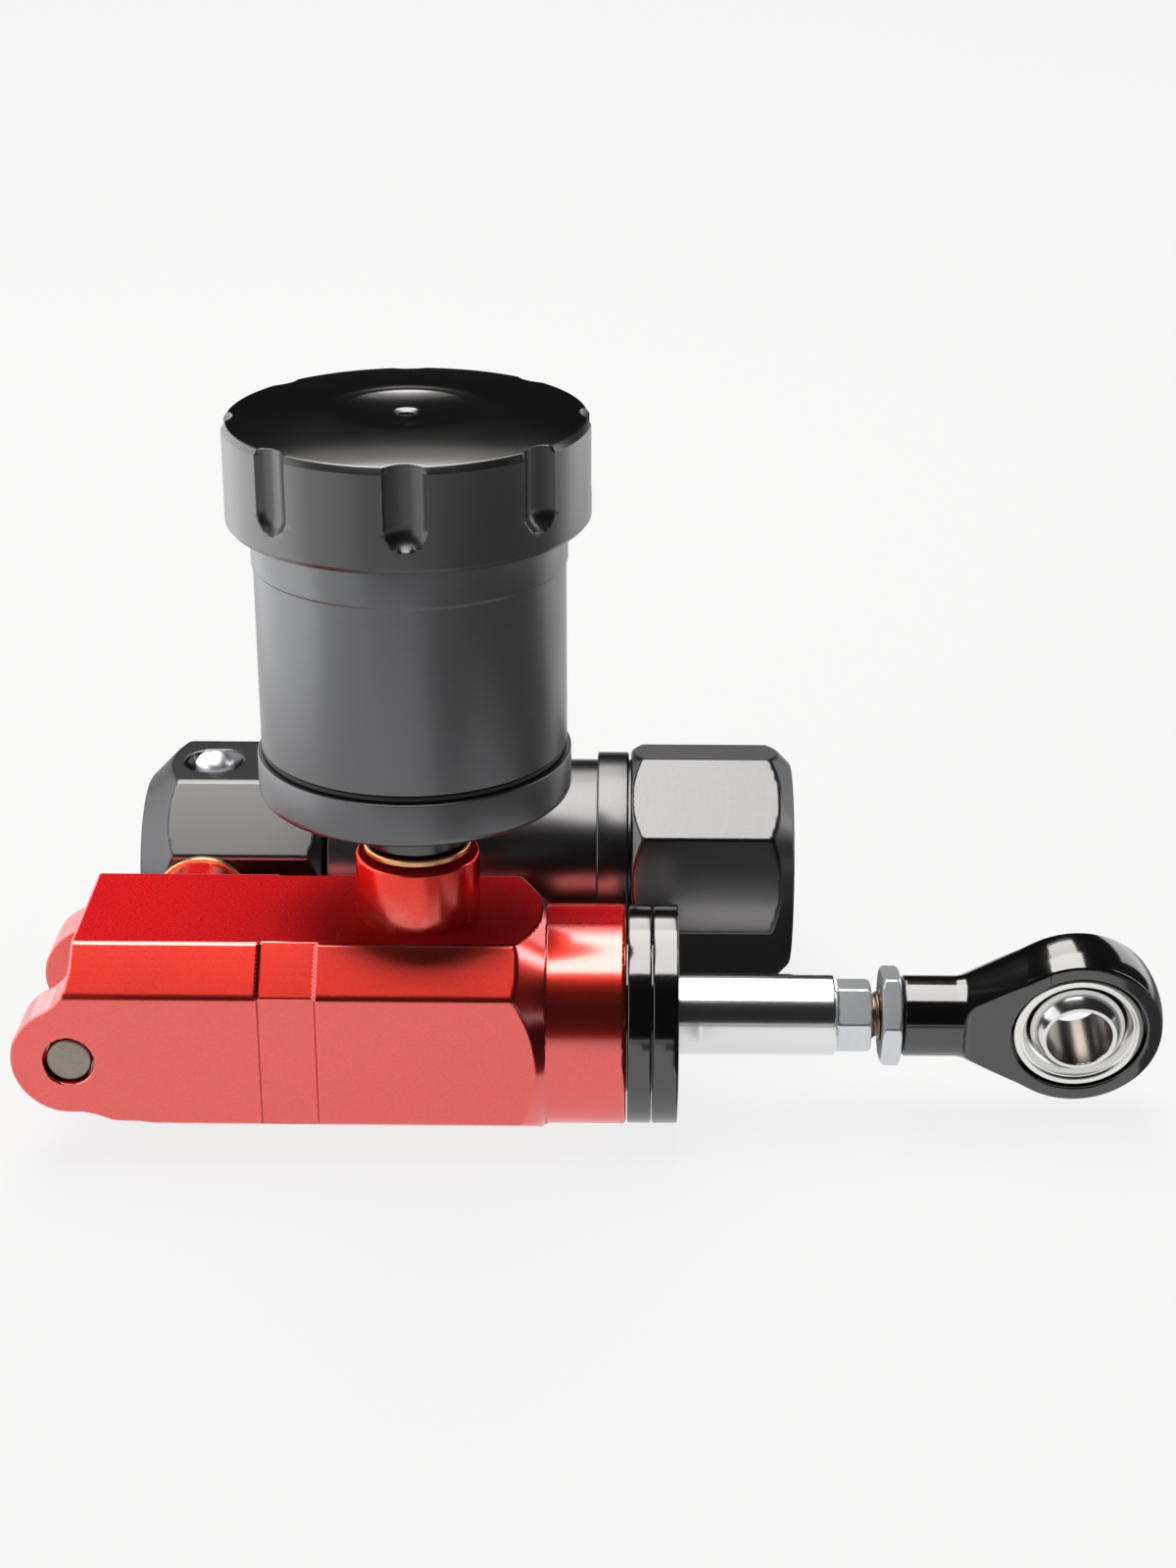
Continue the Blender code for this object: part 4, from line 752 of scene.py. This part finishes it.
def pushrod_field(x, y, z):
    """Distance to the rod with its neck, threaded stub and inner spigot."""
    up = z - AXIS_Z
    reach = np.hypot(y, up)
    bar_part = cut(cut(reach - ROD, (reach - ROD + x - 50.9) * ROOT_HALF, 0.1), x - 51.35, 0.1)
    bar_part = np.maximum(bar_part, 21.1 - x)
    neck = cut(across_flats(y, up, 8.0, 6, HEX_ROLL), x - 55.5, 0.15)
    neck = cut(neck, (reach - 4.25 + x - 55.5) * ROOT_HALF, 0.1)
    neck = np.maximum(neck, 46.0 - x)
    wave = np.abs((x - np.arctan2(up, y) / (2 * math.pi)) % 1.0 - 0.5)
    stub = np.maximum(np.maximum((reach - 2.5 - 1.0 * wave) * 0.7, x - 66.2), 52.0 - x)
    spigot = np.maximum(np.maximum(reach - 3.0, 13.7 - x), x - 22.0)
    return join(np.minimum(np.minimum(bar_part, neck), spigot), stub, 0.1)


pushrod = carve("pushrod", pushrod_field, (13.0, -5.6, 8.2), (66.9, 5.6, 19.4), 0.22,
                finished("chrome", BORE_AT, (1, 0, 0)))
for look in ("zinc", "thread"):
    pushrod.data.materials.append(finished(look, BORE_AT, (1, 0, 0)))
for face in pushrod.data.polygons:
    face.material_index = int(face.center.x > NECK_FROM * MM) + int(face.center.x > THREAD_FROM * MM)


def jam_nut_field(x, y, z):
    """Distance to the thin nut that locks the rod end."""
    up, off = z - AXIS_Z, np.abs(x - NUT_AT)
    reach = np.hypot(y, up)
    shape = cut(across_flats(y, up, 11.0, 6, HEX_ROLL), off - 1.2, 0.12)
    shape = cut(shape, ((reach - 5.1) * 0.8 + (off - 1.6) * 1.25) / 1.484, 0.1)
    return cut(shape, 3.3 - reach, 0.2)


carve("jam_nut", jam_nut_field, (56.0, -7.0, 6.8), (59.8, 7.0, 20.8), 0.2,
      finished("zinc", BORE_AT, (1, 0, 0)))

# %% [markdown]
# ## Rod end
# The rod end is a forging, so its eye, neck and shank flow into each other, and its eye is slightly
# crowned. It is rolled a little about the rod, so its field is written in its own frame, which one matrix
# then puts in place. The race and the ball are turned, and the ball's bore is duller than its outside,
# with a darker colour that is painted shade inside the hole.

# %% Rod end: housing, race and ball
EYE_AT = (80.9, 0, AXIS_Z)
EYE_ROLL = 9.5
EYE, EYE_HOLE, EYE_CROWN, CHEEK = 10.6, 8.3, 29.0, 3.8
RACE, RACE_BALL, BALL, BALL_HALF, BALL_BORE = 8.0, 6.7, 6.4, 4.5, 4.0
EYE_FRAME = Matrix.Translation(EYE_AT) @ Matrix.Rotation(math.radians(EYE_ROLL), 4, "X")
EYE_AXIS = tuple(Matrix.Rotation(math.radians(EYE_ROLL), 3, "X") @ Vector((0, 1, 0)))


def housing_field(x, y, z):
    """Distance to the rod end's housing, with the eye's axis along y."""
    around, reach, side = np.hypot(x, z), np.hypot(y, z), np.abs(y)
    shank = cut(reach - 5.0, -21.5 - x, 0.4)
    flare = np.maximum((reach - 5.0 - 0.4684 * (x + 14.3)) * 0.9056, -21.5 - x)
    shank = np.maximum(join(shank, flare, 0.3), x + 4.15)
    mill = np.minimum(np.maximum(CHEEK - side, -12.8 - x), np.hypot(x + 12.8, side - 5.3) - 1.5)
    mill = np.minimum(mill, np.maximum(5.3 - side, -14.3 - x))
    shank = cut(shank, -mill, 0.15)
    eye = cut(around - EYE + side ** 2 / EYE_CROWN, side - CHEEK, 0.35)
    shape = join(eye, shank, 0.25)
    shape = cut(shape, EYE_HOLE - around, 0.3)
    return cut(shape, -np.maximum(reach - 3.3, x + 14.3), 0.2)


carve("rod_end_housing", housing_field, (-22.2, -5.8, -11.3), (11.3, 5.8, 11.3), 0.26,
      finished("black_anodised", EYE_AT, EYE_AXIS), EYE_FRAME)
race_lean = math.degrees(math.asin(2.4 / RACE_BALL))
lathe("rod_end_race",
      [(RACE, 3.5, 0.3), (RACE, -3.5, 0.3), (7.15, -3.5, 0.1), (7.15, -3.15), (6.8, -3.15, 0.1)]
      + swing((0, 0), RACE_BALL, -race_lean, race_lean, 24)
      + [(6.8, 3.15, 0.1), (7.15, 3.15), (7.15, 3.5, 0.1)],
      "Y", EYE_AT, material=finished("race", EYE_AT, EYE_AXIS), roll=EYE_ROLL)
ball_lean = math.degrees(math.asin(BALL_HALF / BALL))
ball = lathe("rod_end_ball", swing((0, 0), BALL, ball_lean, -ball_lean, 32)
             + [(BALL_BORE, -BALL_HALF, 0.2), (BALL_BORE, BALL_HALF, 0.2)],
             "Y", EYE_AT, roll=EYE_ROLL)
# The bore faces take the darker bore finish, which is painted shade inside the hole.
ball.data.materials.append(finished("bore", EYE_AT, EYE_AXIS))
for face in ball.data.polygons:
    off_axis = (face.center / MM - Vector(EYE_AT)).cross(Vector(EYE_AXIS)).length
    face.material_index = int(off_axis < BALL_BORE + 0.02)

# %% [markdown]
# ## Reservoir
# The reservoir stands on a hollow stem with a copper washer under it. Base, tube and cap are turned from
# one bar each, with an O-ring line between base and tube and an orange ring under the cap.

# %% Stem, base, tube and what is inside
lathe("reservoir_washer", raised(bar(4.2, 6.5, 22.5, 23.5, 0.25)))
lathe("reservoir_stem", raised([
    (3.9, 38.0, 0.3), (3.9, 30.3), (6.2, 30.3, 0.2), (6.2, 23.8, 0.4), (3.9, 23.8), (3.9, 13.4, 0.3),
    (2.2, 13.4), (2.2, 38.0)]))
lathe("reservoir_base", raised([
    (16.15, 41.0, 0.3), (16.15, 36.0), (18.65, 36.0, 0.2), (18.65, 30.5, 1.1), (4.2, 30.5), (4.2, 34.8),
    (13.95, 34.8), (13.95, 41.0)]))
lathe("base_o_ring", raised(bar(16.45, 18.0, 36.1, 36.75, 0.2)))
lathe("reservoir_tube", raised([
    (14.8, 72.15), (17.0, 72.15, 0.4), (17.0, 63.95), (18.35, 63.95, 0.15), (18.35, 59.55, 0.15),
    (18.15, 59.3, 0.2), (18.15, 36.85, 0.2), (16.45, 36.85), (16.45, 61.75), (14.8, 61.75)]))
lathe("cap_o_ring", raised(bar(17.3, 17.9, 64.1, 64.7, 0.2)))
lathe("diaphragm", raised([
    (0, 62.45), (13.5, 62.45, 0.8), (13.5, 73.45, 0.8), (16.7, 73.45, 0.3), (16.7, 72.45),
    (14.5, 72.45, 0.3), (14.5, 61.45, 1.2), (0, 61.45)]))
lathe("slip_ring", raised(bar(14.5, 16.7, 73.75, 74.55, 0.2)))

# %% [markdown]
# ## Reservoir cap
# The cap is turned, with a low dome, a shallow dish and a vent hole, and a ball-ended cutter then mills
# eight flutes into its side. Cutting them with booleans would leave ragged lips. Instead the lathe asks,
# at each height and angle, which radius the cutter leaves, and its columns are packed into the flutes so
# that their lips fall on a column.

# %% Cap
CAP_LOW, CAP_TOP, CAP_RIM = 78.05, 90.2, 21.07
BOWL, DISH, EDGE_AT, CAP_RISE = 7.6, 8.5, CAP_RIM - 0.5, 1.24
BOWL_DEEP, LEDGE_DEEP, VENT, VENT_MOUTH, VENT_DEEP = 0.6, 0.12, 0.9, 1.5, 0.28
MOUTH, CEILING, CEILING_Z = 18.2, 17.45, 88.65
FLUTE_AT, FLUTE, FLUTE_LOW, FLUTE_TURN = 22.7, 3.0, 83.3, math.radians(3.4)


def cap_profile():
    """Half section of the cap: vented dish, dome, side, mouth and ceiling."""
    rise = (EDGE_AT ** 2 - DISH ** 2) / EDGE_AT ** 2 * CAP_RISE
    ledge = CAP_TOP + rise - LEDGE_DEEP
    dish = [(r, ledge - BOWL_DEEP * (1 - (r / BOWL) ** 2)) for r in np.linspace(VENT_MOUTH, BOWL, 16)]
    dish.append((DISH, ledge + 0.01))
    steps = list(np.linspace(DISH + 0.4, 19.4, 16)) + list(np.linspace(19.5, EDGE_AT - 0.15, 9))
    dome = [(r, CAP_TOP + CAP_RISE * (1 - (r / EDGE_AT) ** 2)) for r in steps]
    side = [(CAP_RIM, z) for z in np.linspace(CAP_TOP - 0.9, CAP_LOW + 0.9, 36)]
    return ([(VENT, CEILING_Z), (VENT, dish[0][1] - VENT_DEEP)] + dish + dome
            + [(EDGE_AT, CAP_TOP, 0.3), (CAP_RIM, CAP_TOP - 0.75, 0.15)] + side
            + [(CAP_RIM, CAP_LOW + 0.6, 0.08), (EDGE_AT, CAP_LOW, 0.08), (MOUTH, CAP_LOW), (MOUTH, 78.65),
               (CEILING, 78.65), (CEILING, CEILING_Z)])


def fluted(radius, height, angle):
    """Radius that the flutes' ball-ended cutter leaves."""
    aside = (angle + math.pi / 2 - FLUTE_TURN + math.pi / 8) % (math.pi / 4) - math.pi / 8
    half = math.sqrt(max(FLUTE ** 2 - min(height - FLUTE_LOW, 0) ** 2, 0))
    off = FLUTE_AT * math.sin(aside)
    if abs(off) >= half:
        return radius
    return min(radius, FLUTE_AT * math.cos(aside) - math.sqrt(half ** 2 - off ** 2))


LIP = math.acos((FLUTE_AT ** 2 + CAP_RIM ** 2 - FLUTE ** 2) / (2 * FLUTE_AT * CAP_RIM))
one_flute = list(np.linspace(-LIP, LIP, 25)) + list(np.linspace(LIP, math.pi / 4 - LIP, 16))[1:-1]
cap_angles = [FLUTE_TURN - math.pi / 2 + math.pi / 4 * k + step for k in range(8) for step in one_flute]
lathe("reservoir_cap", cap_profile(), material=finished("cap_black"), angles=cap_angles, trim=fluted)
print("columns around the cap:", len(cap_angles))

# %% [markdown]
# ## Port and slave cylinder
# A hollow nipple with a copper washer joins the two cylinders. The slave is a block, a tube, a lock ring
# and an eight-sided cap, in a satin black. A polished dome-headed plug closes its bleed hole.

# %% Port, slave block and slave cap
PORT_AT = (PORT_X, 0, AXIS_Z + PORT_UP)
SLAVE_AT = (0, 38.0, AXIS_Z + 3.05)
BLOCK_HALF, SLAVE_BORE = 14.65, 10.0
lathe("port_nipple", bar(1.6, 3.9, 17.15, 26.75, 0.3), "Y", PORT_AT, 96)
lathe("port_washer", bar(4.2, 6.5, 22.05, 23.05, 0.25), "Y", PORT_AT)


def block_field(x, y, z):
    """Distance to the slave's block, with its bore, port and bleed hole."""
    aside, up = y - SLAVE_AT[1], z - SLAVE_AT[2]
    reach = np.hypot(aside, up)
    square = np.maximum(np.abs(aside), np.abs(up)) - BLOCK_HALF
    flats = cut(square, (np.abs(aside) + np.abs(up) - 21.7) * ROOT_HALF, 0.3)
    shape = cut(cut(flats, -39.0 - x, 0.3), x + 14.5, 0.3)
    shape = cut(shape, (reach - x - 50.45) * ROOT_HALF, 0.25)
    shape = cut(shape, (reach + x + 0.05) * ROOT_HALF, 0.2)
    spigot = np.maximum(cut(reach - 11.5, x + 8.5, 0.3), -33.0 - x)
    shape = np.minimum(shape, spigot)
    bore = np.maximum(reach - SLAVE_BORE, -33.0 - x)
    line = np.hypot(x - PORT_X, z - PORT_AT[2])
    port = np.minimum(np.maximum(line - 4.2, y - 27.05), np.maximum(line - 1.6, y - 38.0))
    shape = cut(shape, -np.minimum(bore, port), 0.2)
    plug = np.hypot(x - PORT_X, aside)
    deep = z - (SLAVE_AT[2] + BLOCK_HALF)
    sink = np.maximum((plug - 3.9 - 0.625 * deep) * 0.848, -1.6 - deep)
    hole = np.minimum(np.maximum(plug - 2.9, -4.1 - deep), np.maximum(plug - 1.2, -BLOCK_HALF - deep))
    return cut(shape, -np.minimum(sink, hole), 0.2)


carve("slave_block", block_field, (-39.8, 22.6, 1.4), (-7.8, 53.4, 32.3), 0.42,
      finished("satin_black", SLAVE_AT, (1, 0, 0)))
SLAVE_ROLL = math.radians(-13.1)


def slave_cap_field(x, y, z):
    """Distance to the eight-sided cap that closes the slave."""
    aside, up = y - SLAVE_AT[1], z - SLAVE_AT[2]
    reach = np.hypot(aside, up)
    shape = cut(across_flats(aside, up, 30.6, 8, SLAVE_ROLL), np.abs(x - 36.55) - 10.75, 0.25)
    shape = cut(shape, (reach - 15.1 - x + 25.8) * ROOT_HALF, 0.25)
    shape = cut(shape, (reach - 13.5 + x - 47.3) * ROOT_HALF, 0.25)
    bore = np.minimum(np.maximum(reach - 14.3, x - 43.5), np.maximum(reach - 4.5, x - 45.5))
    return cut(shape, -bore, 0.2)


carve("slave_cap", slave_cap_field, (25.0, 20.6, -0.6), (48.1, 55.4, 34.4), 0.42,
      finished("satin_black", SLAVE_AT, (1, 0, 0)))

# %% [markdown]
# ## The slave's stack
# Inside the slave, two elastomers with a washer between them give the pedal its feel. They squeeze as the
# piston comes out. The stem nut sits hidden in the reservoir and is a plain hexagon, so its imported solid
# is shown as it is, with a finish of its own.

# %% Slave tube, lock ring, plug and the stack inside
lathe("slave_tube", bar(11.8, 14.0, -14.2, 39.8, 0.4), "X", SLAVE_AT)
lathe("slave_lock_ring", bar(14.3, 15.0, 21.3, 25.5, 0.3), "X", SLAVE_AT)
lathe("slave_piston", [
    (0, -0.5), (11.2, -0.5, 0.4), (11.2, -4.5, 0.3), (4.5, -4.5), (4.5, -19.9), (9.7, -19.9, 0.2),
    (9.7, -22.5, 0.2), (7.3, -22.5), (7.3, -25.7), (9.7, -25.7, 0.2), (9.7, -28.1, 0.4), (0, -28.1)],
      "X", SLAVE_AT, 96)
lathe("slave_seal", bar(7.6, 9.7, -25.4, -22.8, 0.4), "X", SLAVE_AT, 96)
inner_rubber = lathe("elastomer_inner", bar(4.8, 10.4, -0.2, 20.2, 0.4), "X", SLAVE_AT, 96)
outer_rubber = lathe("elastomer_outer", bar(4.8, 10.4, 22.8, 43.2, 0.4), "X", SLAVE_AT, 96)
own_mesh(inner_rubber)
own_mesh(outer_rubber)
lathe("stack_washer", bar(4.8, 11.2, 20.5, 22.5, 0.3), "X", SLAVE_AT, 96)
lathe("guide_pin", bar(0, 4.2, 9.2, 45.2, 0.4), "X", SLAVE_AT, 96)
PLUG_AT = (PORT_X, SLAVE_AT[1], SLAVE_AT[2] + BLOCK_HALF)
plug_head = swing((0, -1.6), 3.0, 90, 29.9, 24)
plug_head[0] = (0, 1.4)
lathe("bleed_plug", plug_head + [(2.6, -3.8, 0.3), (0, -3.8)], "Z", PLUG_AT, material=finished("zinc", PLUG_AT))
stem_nut = frame["nodes"]["stem_nut"]
stem_nut.data.materials.clear()
stem_nut.data.materials.append(finished("steel"))

# %% [markdown]
# ## Studio
# The photograph has an even pale ground that fades into the distance. The floor and the world show one
# pale tone to the camera and in reflections, and the floor keeps a share of real light near the object,
# so that it still takes a soft shadow. Further out it is all tone, so that no horizon shows.

# %% Floor and world
PALE = (0.922, 0.922, 0.922, 1.0)
ROOM = (0.16, 0.16, 0.165, 1.0)
NEAR_SHARE, FADE_FROM, FADE_TO = 0.9, 0.3, 1.5


def seen_directly(tree):
    """One for rays from the camera, and for those seen in metal or through glass."""
    path = tree.nodes.new("ShaderNodeLightPath").outputs
    either = sum_of(tree, "MAXIMUM", path["Is Camera Ray"], path["Is Glossy Ray"])
    return sum_of(tree, "MAXIMUM", either, path["Is Transmission Ray"])


bpy.ops.mesh.primitive_circle_add(vertices=96, radius=6.0, fill_type="NGON", location=(0, 0, -0.0001))
floor = bpy.context.object
floor.name = "studio_floor"
paper = bpy.data.materials.new("studio_paper")
paper.use_nodes = True
tree = paper.node_tree
tree.nodes.remove(tree.nodes["Principled BSDF"])
lit = tree.nodes.new("ShaderNodeBsdfDiffuse")
lit.inputs["Color"].default_value = (0.7, 0.7, 0.7, 1.0)
glow = tree.nodes.new("ShaderNodeEmission")
glow.inputs["Color"].default_value = PALE
blend = tree.nodes.new("ShaderNodeMixShader")
away = vector_of(tree, "LENGTH", tree.nodes.new("ShaderNodeTexCoord").outputs["Object"]).outputs["Value"]
toned = spread(tree, away, FADE_FROM, FADE_TO, NEAR_SHARE, 1.0)
feed(tree, blend.inputs[0], sum_of(tree, "MULTIPLY", seen_directly(tree), toned))
tree.links.new(lit.outputs[0], blend.inputs[1])
tree.links.new(glow.outputs[0], blend.inputs[2])
tree.links.new(blend.outputs[0], tree.nodes["Material Output"].inputs["Surface"])
floor.data.materials.append(paper)

world = bpy.data.worlds.new("studio_world")
bpy.context.scene.world = world
world.use_nodes = True
tree = world.node_tree
ground = tree.nodes["Background"]
feed(tree, ground.inputs["Color"], mixed(tree, seen_directly(tree), ROOM, PALE))
bpy.context.scene.view_settings.view_transform = "Standard"
print("stage:", floor.name, "and", world.name)


# %% [markdown]
# ## Cards and lamps
# Polished metal is mostly what it reflects. Around the object stands a dark room of near-black cards, with
# a grey table in front, a bright glow close by on the left and another behind on the right. Small dark
# cards on the floor are painted shadow: they darken what the nose, the right side and the underside would
# mirror where the object shades the floor. Cards only show in reflections and cast no shadow.
# The light itself comes from broad soft lamps overhead, a panel on the left and a strip on the right.

# %% Cards
def card(name, centre, size, facing, shade):
    """A card that shows in reflections only."""
    bpy.ops.mesh.primitive_plane_add(size=1.0, location=centre)
    sheet = bpy.context.object
    sheet.name = name
    sheet.scale = (*size, 1.0)
    sheet.rotation_euler = Vector(facing).to_track_quat("Z", "Y").to_euler()
    for flag in ("visible_camera", "visible_diffuse", "visible_shadow", "visible_transmission"):
        setattr(sheet, flag, False)
    material = bpy.data.materials.new(name)
    material.use_nodes = True
    nodes = material.node_tree.nodes
    nodes.remove(nodes["Principled BSDF"])
    glow = nodes.new("ShaderNodeEmission")
    glow.inputs["Color"].default_value = (shade, shade, shade, 1.0)
    material.node_tree.links.new(glow.outputs[0], nodes["Material Output"].inputs["Surface"])
    sheet.data.materials.append(material)
    return sheet


LEFTWARD, RIGHTWARD, UPWARD = (-1, 0, 0), (1, 0, 0), (0, 0, 1)
CARDS = [
    ("front_wall", (0, -0.75, 0.52), (3.0, 1.0), (0, 1, 0), 0.02),
    ("back_wall", (0, 1.5, 0.52), (3.0, 1.0), (0, -1, 0), 0.012),
    ("left_wall", (-1.2, 0.35, 0.52), (2.4, 1.0), RIGHTWARD, 0.02),
    ("right_wall", (1.2, 0.35, 0.52), (2.4, 1.0), LEFTWARD, 0.02),
    ("ceiling", (0, 0.35, 1.0), (3.0, 2.4), (0, 0, -1), 0.02),
    ("front_table", (0, -0.46, 0.002), (3.0, 0.56), UPWARD, 0.6),
    # The cards at the right, the near right, under the object and by the nose are painted shadow of the object
    # on the floor, seen in reflections only.
    ("right_table", (0.25, -0.09, 0.003), (0.32, 0.32), UPWARD, 0.2),
    ("near_right_table", (0.065, -0.13, 0.004), (0.07, 0.12), UPWARD, 0.28),
    ("under_shade", (0.03, 0.027, 0.001), (0.13, 0.03), UPWARD, 0.1),
    ("nose_flag", (0.0345, -0.026, 0.0095), (0.03, 0.018), LEFTWARD, 0.02),
    ("left_glow_front", (-0.115, -0.14, 0.075), (0.16, 0.14), RIGHTWARD, 1.1),
    ("left_glow", (-0.115, 0.03, 0.075), (0.18, 0.14), RIGHTWARD, 2.2),
    ("left_glow_rear", (-0.115, 0.20, 0.075), (0.16, 0.14), RIGHTWARD, 1.5),
    ("right_glow", (0.19, 0.23, 0.05), (0.26, 0.10), LEFTWARD, 1.8),
]
for row in CARDS:
    card(*row)
print("cards:", len(CARDS))


# %% Lamps
def soft_box(name, centre, aim, size, power, colour):
    """A rectangular area lamp that looks at a point."""
    lamp = bpy.data.lights.new(name, "AREA")
    lamp.shape = "RECTANGLE"
    lamp.size, lamp.size_y = size
    lamp.energy = power
    lamp.color = colour
    made = bpy.data.objects.new(name, lamp)
    bpy.context.scene.collection.objects.link(made)
    made.location = centre
    made.rotation_euler = (Vector(aim) - Vector(centre)).to_track_quat("-Z", "Y").to_euler()
    return made


WARM, WHITE, HEART = (1.0, 0.97, 0.93), (1, 1, 1), (0.0, 0.0, 0.04)
LAMPS = [
    ("overhead", (-0.08, 0.125, 0.80), (-0.08, 0.125, 0.0), (0.54, 0.85), 9.6, WARM),
    ("overhead_rear", (-0.09, 0.87, 0.80), (-0.09, 0.87, 0.0), (0.46, 0.64), 4.6, WARM),
    ("overhead_far", (-0.09, 1.30, 0.80), (-0.09, 1.30, 0.0), (0.46, 0.22), 0.15, WARM),
    ("left_panel", (-0.75, 0.05, 0.35), HEART, (0.5, 0.6), 1.2, WHITE),
    ("right_strip", (0.70, 0.25, 0.35), HEART, (0.08, 0.6), 0.8, WHITE),
]
for row in LAMPS:
    soft_box(*row)
print("lamps:", len(LAMPS))

# %% [markdown]
# ## Camera
# The camera was fitted to the photograph from the pushrod, the rims and the edges of the body. It looks
# 23 degrees down, almost straight at the side of the bore.

# %% Camera
lens = bpy.data.cameras.new("photo_camera")
lens.lens, lens.sensor_width = 65.68, 36.0
lens.clip_start, lens.clip_end = 0.01, 50.0
camera = bpy.data.objects.new("photo_camera", lens)
bpy.context.scene.collection.objects.link(camera)
right = Vector((0.9999, 0.0162, 0.0)).normalized()
back = -Vector((-0.0149, 0.9192, -0.3936)).normalized()
above = back.cross(right).normalized()
right = above.cross(back)
stance = Matrix((right, above, back)).transposed().to_4x4()
camera.matrix_world = Matrix.Translation(Vector((25.74, -314.94, 179.53)) * MM) @ stance
bpy.context.scene.camera = camera
print("lens:", round(lens.lens, 2), "mm")
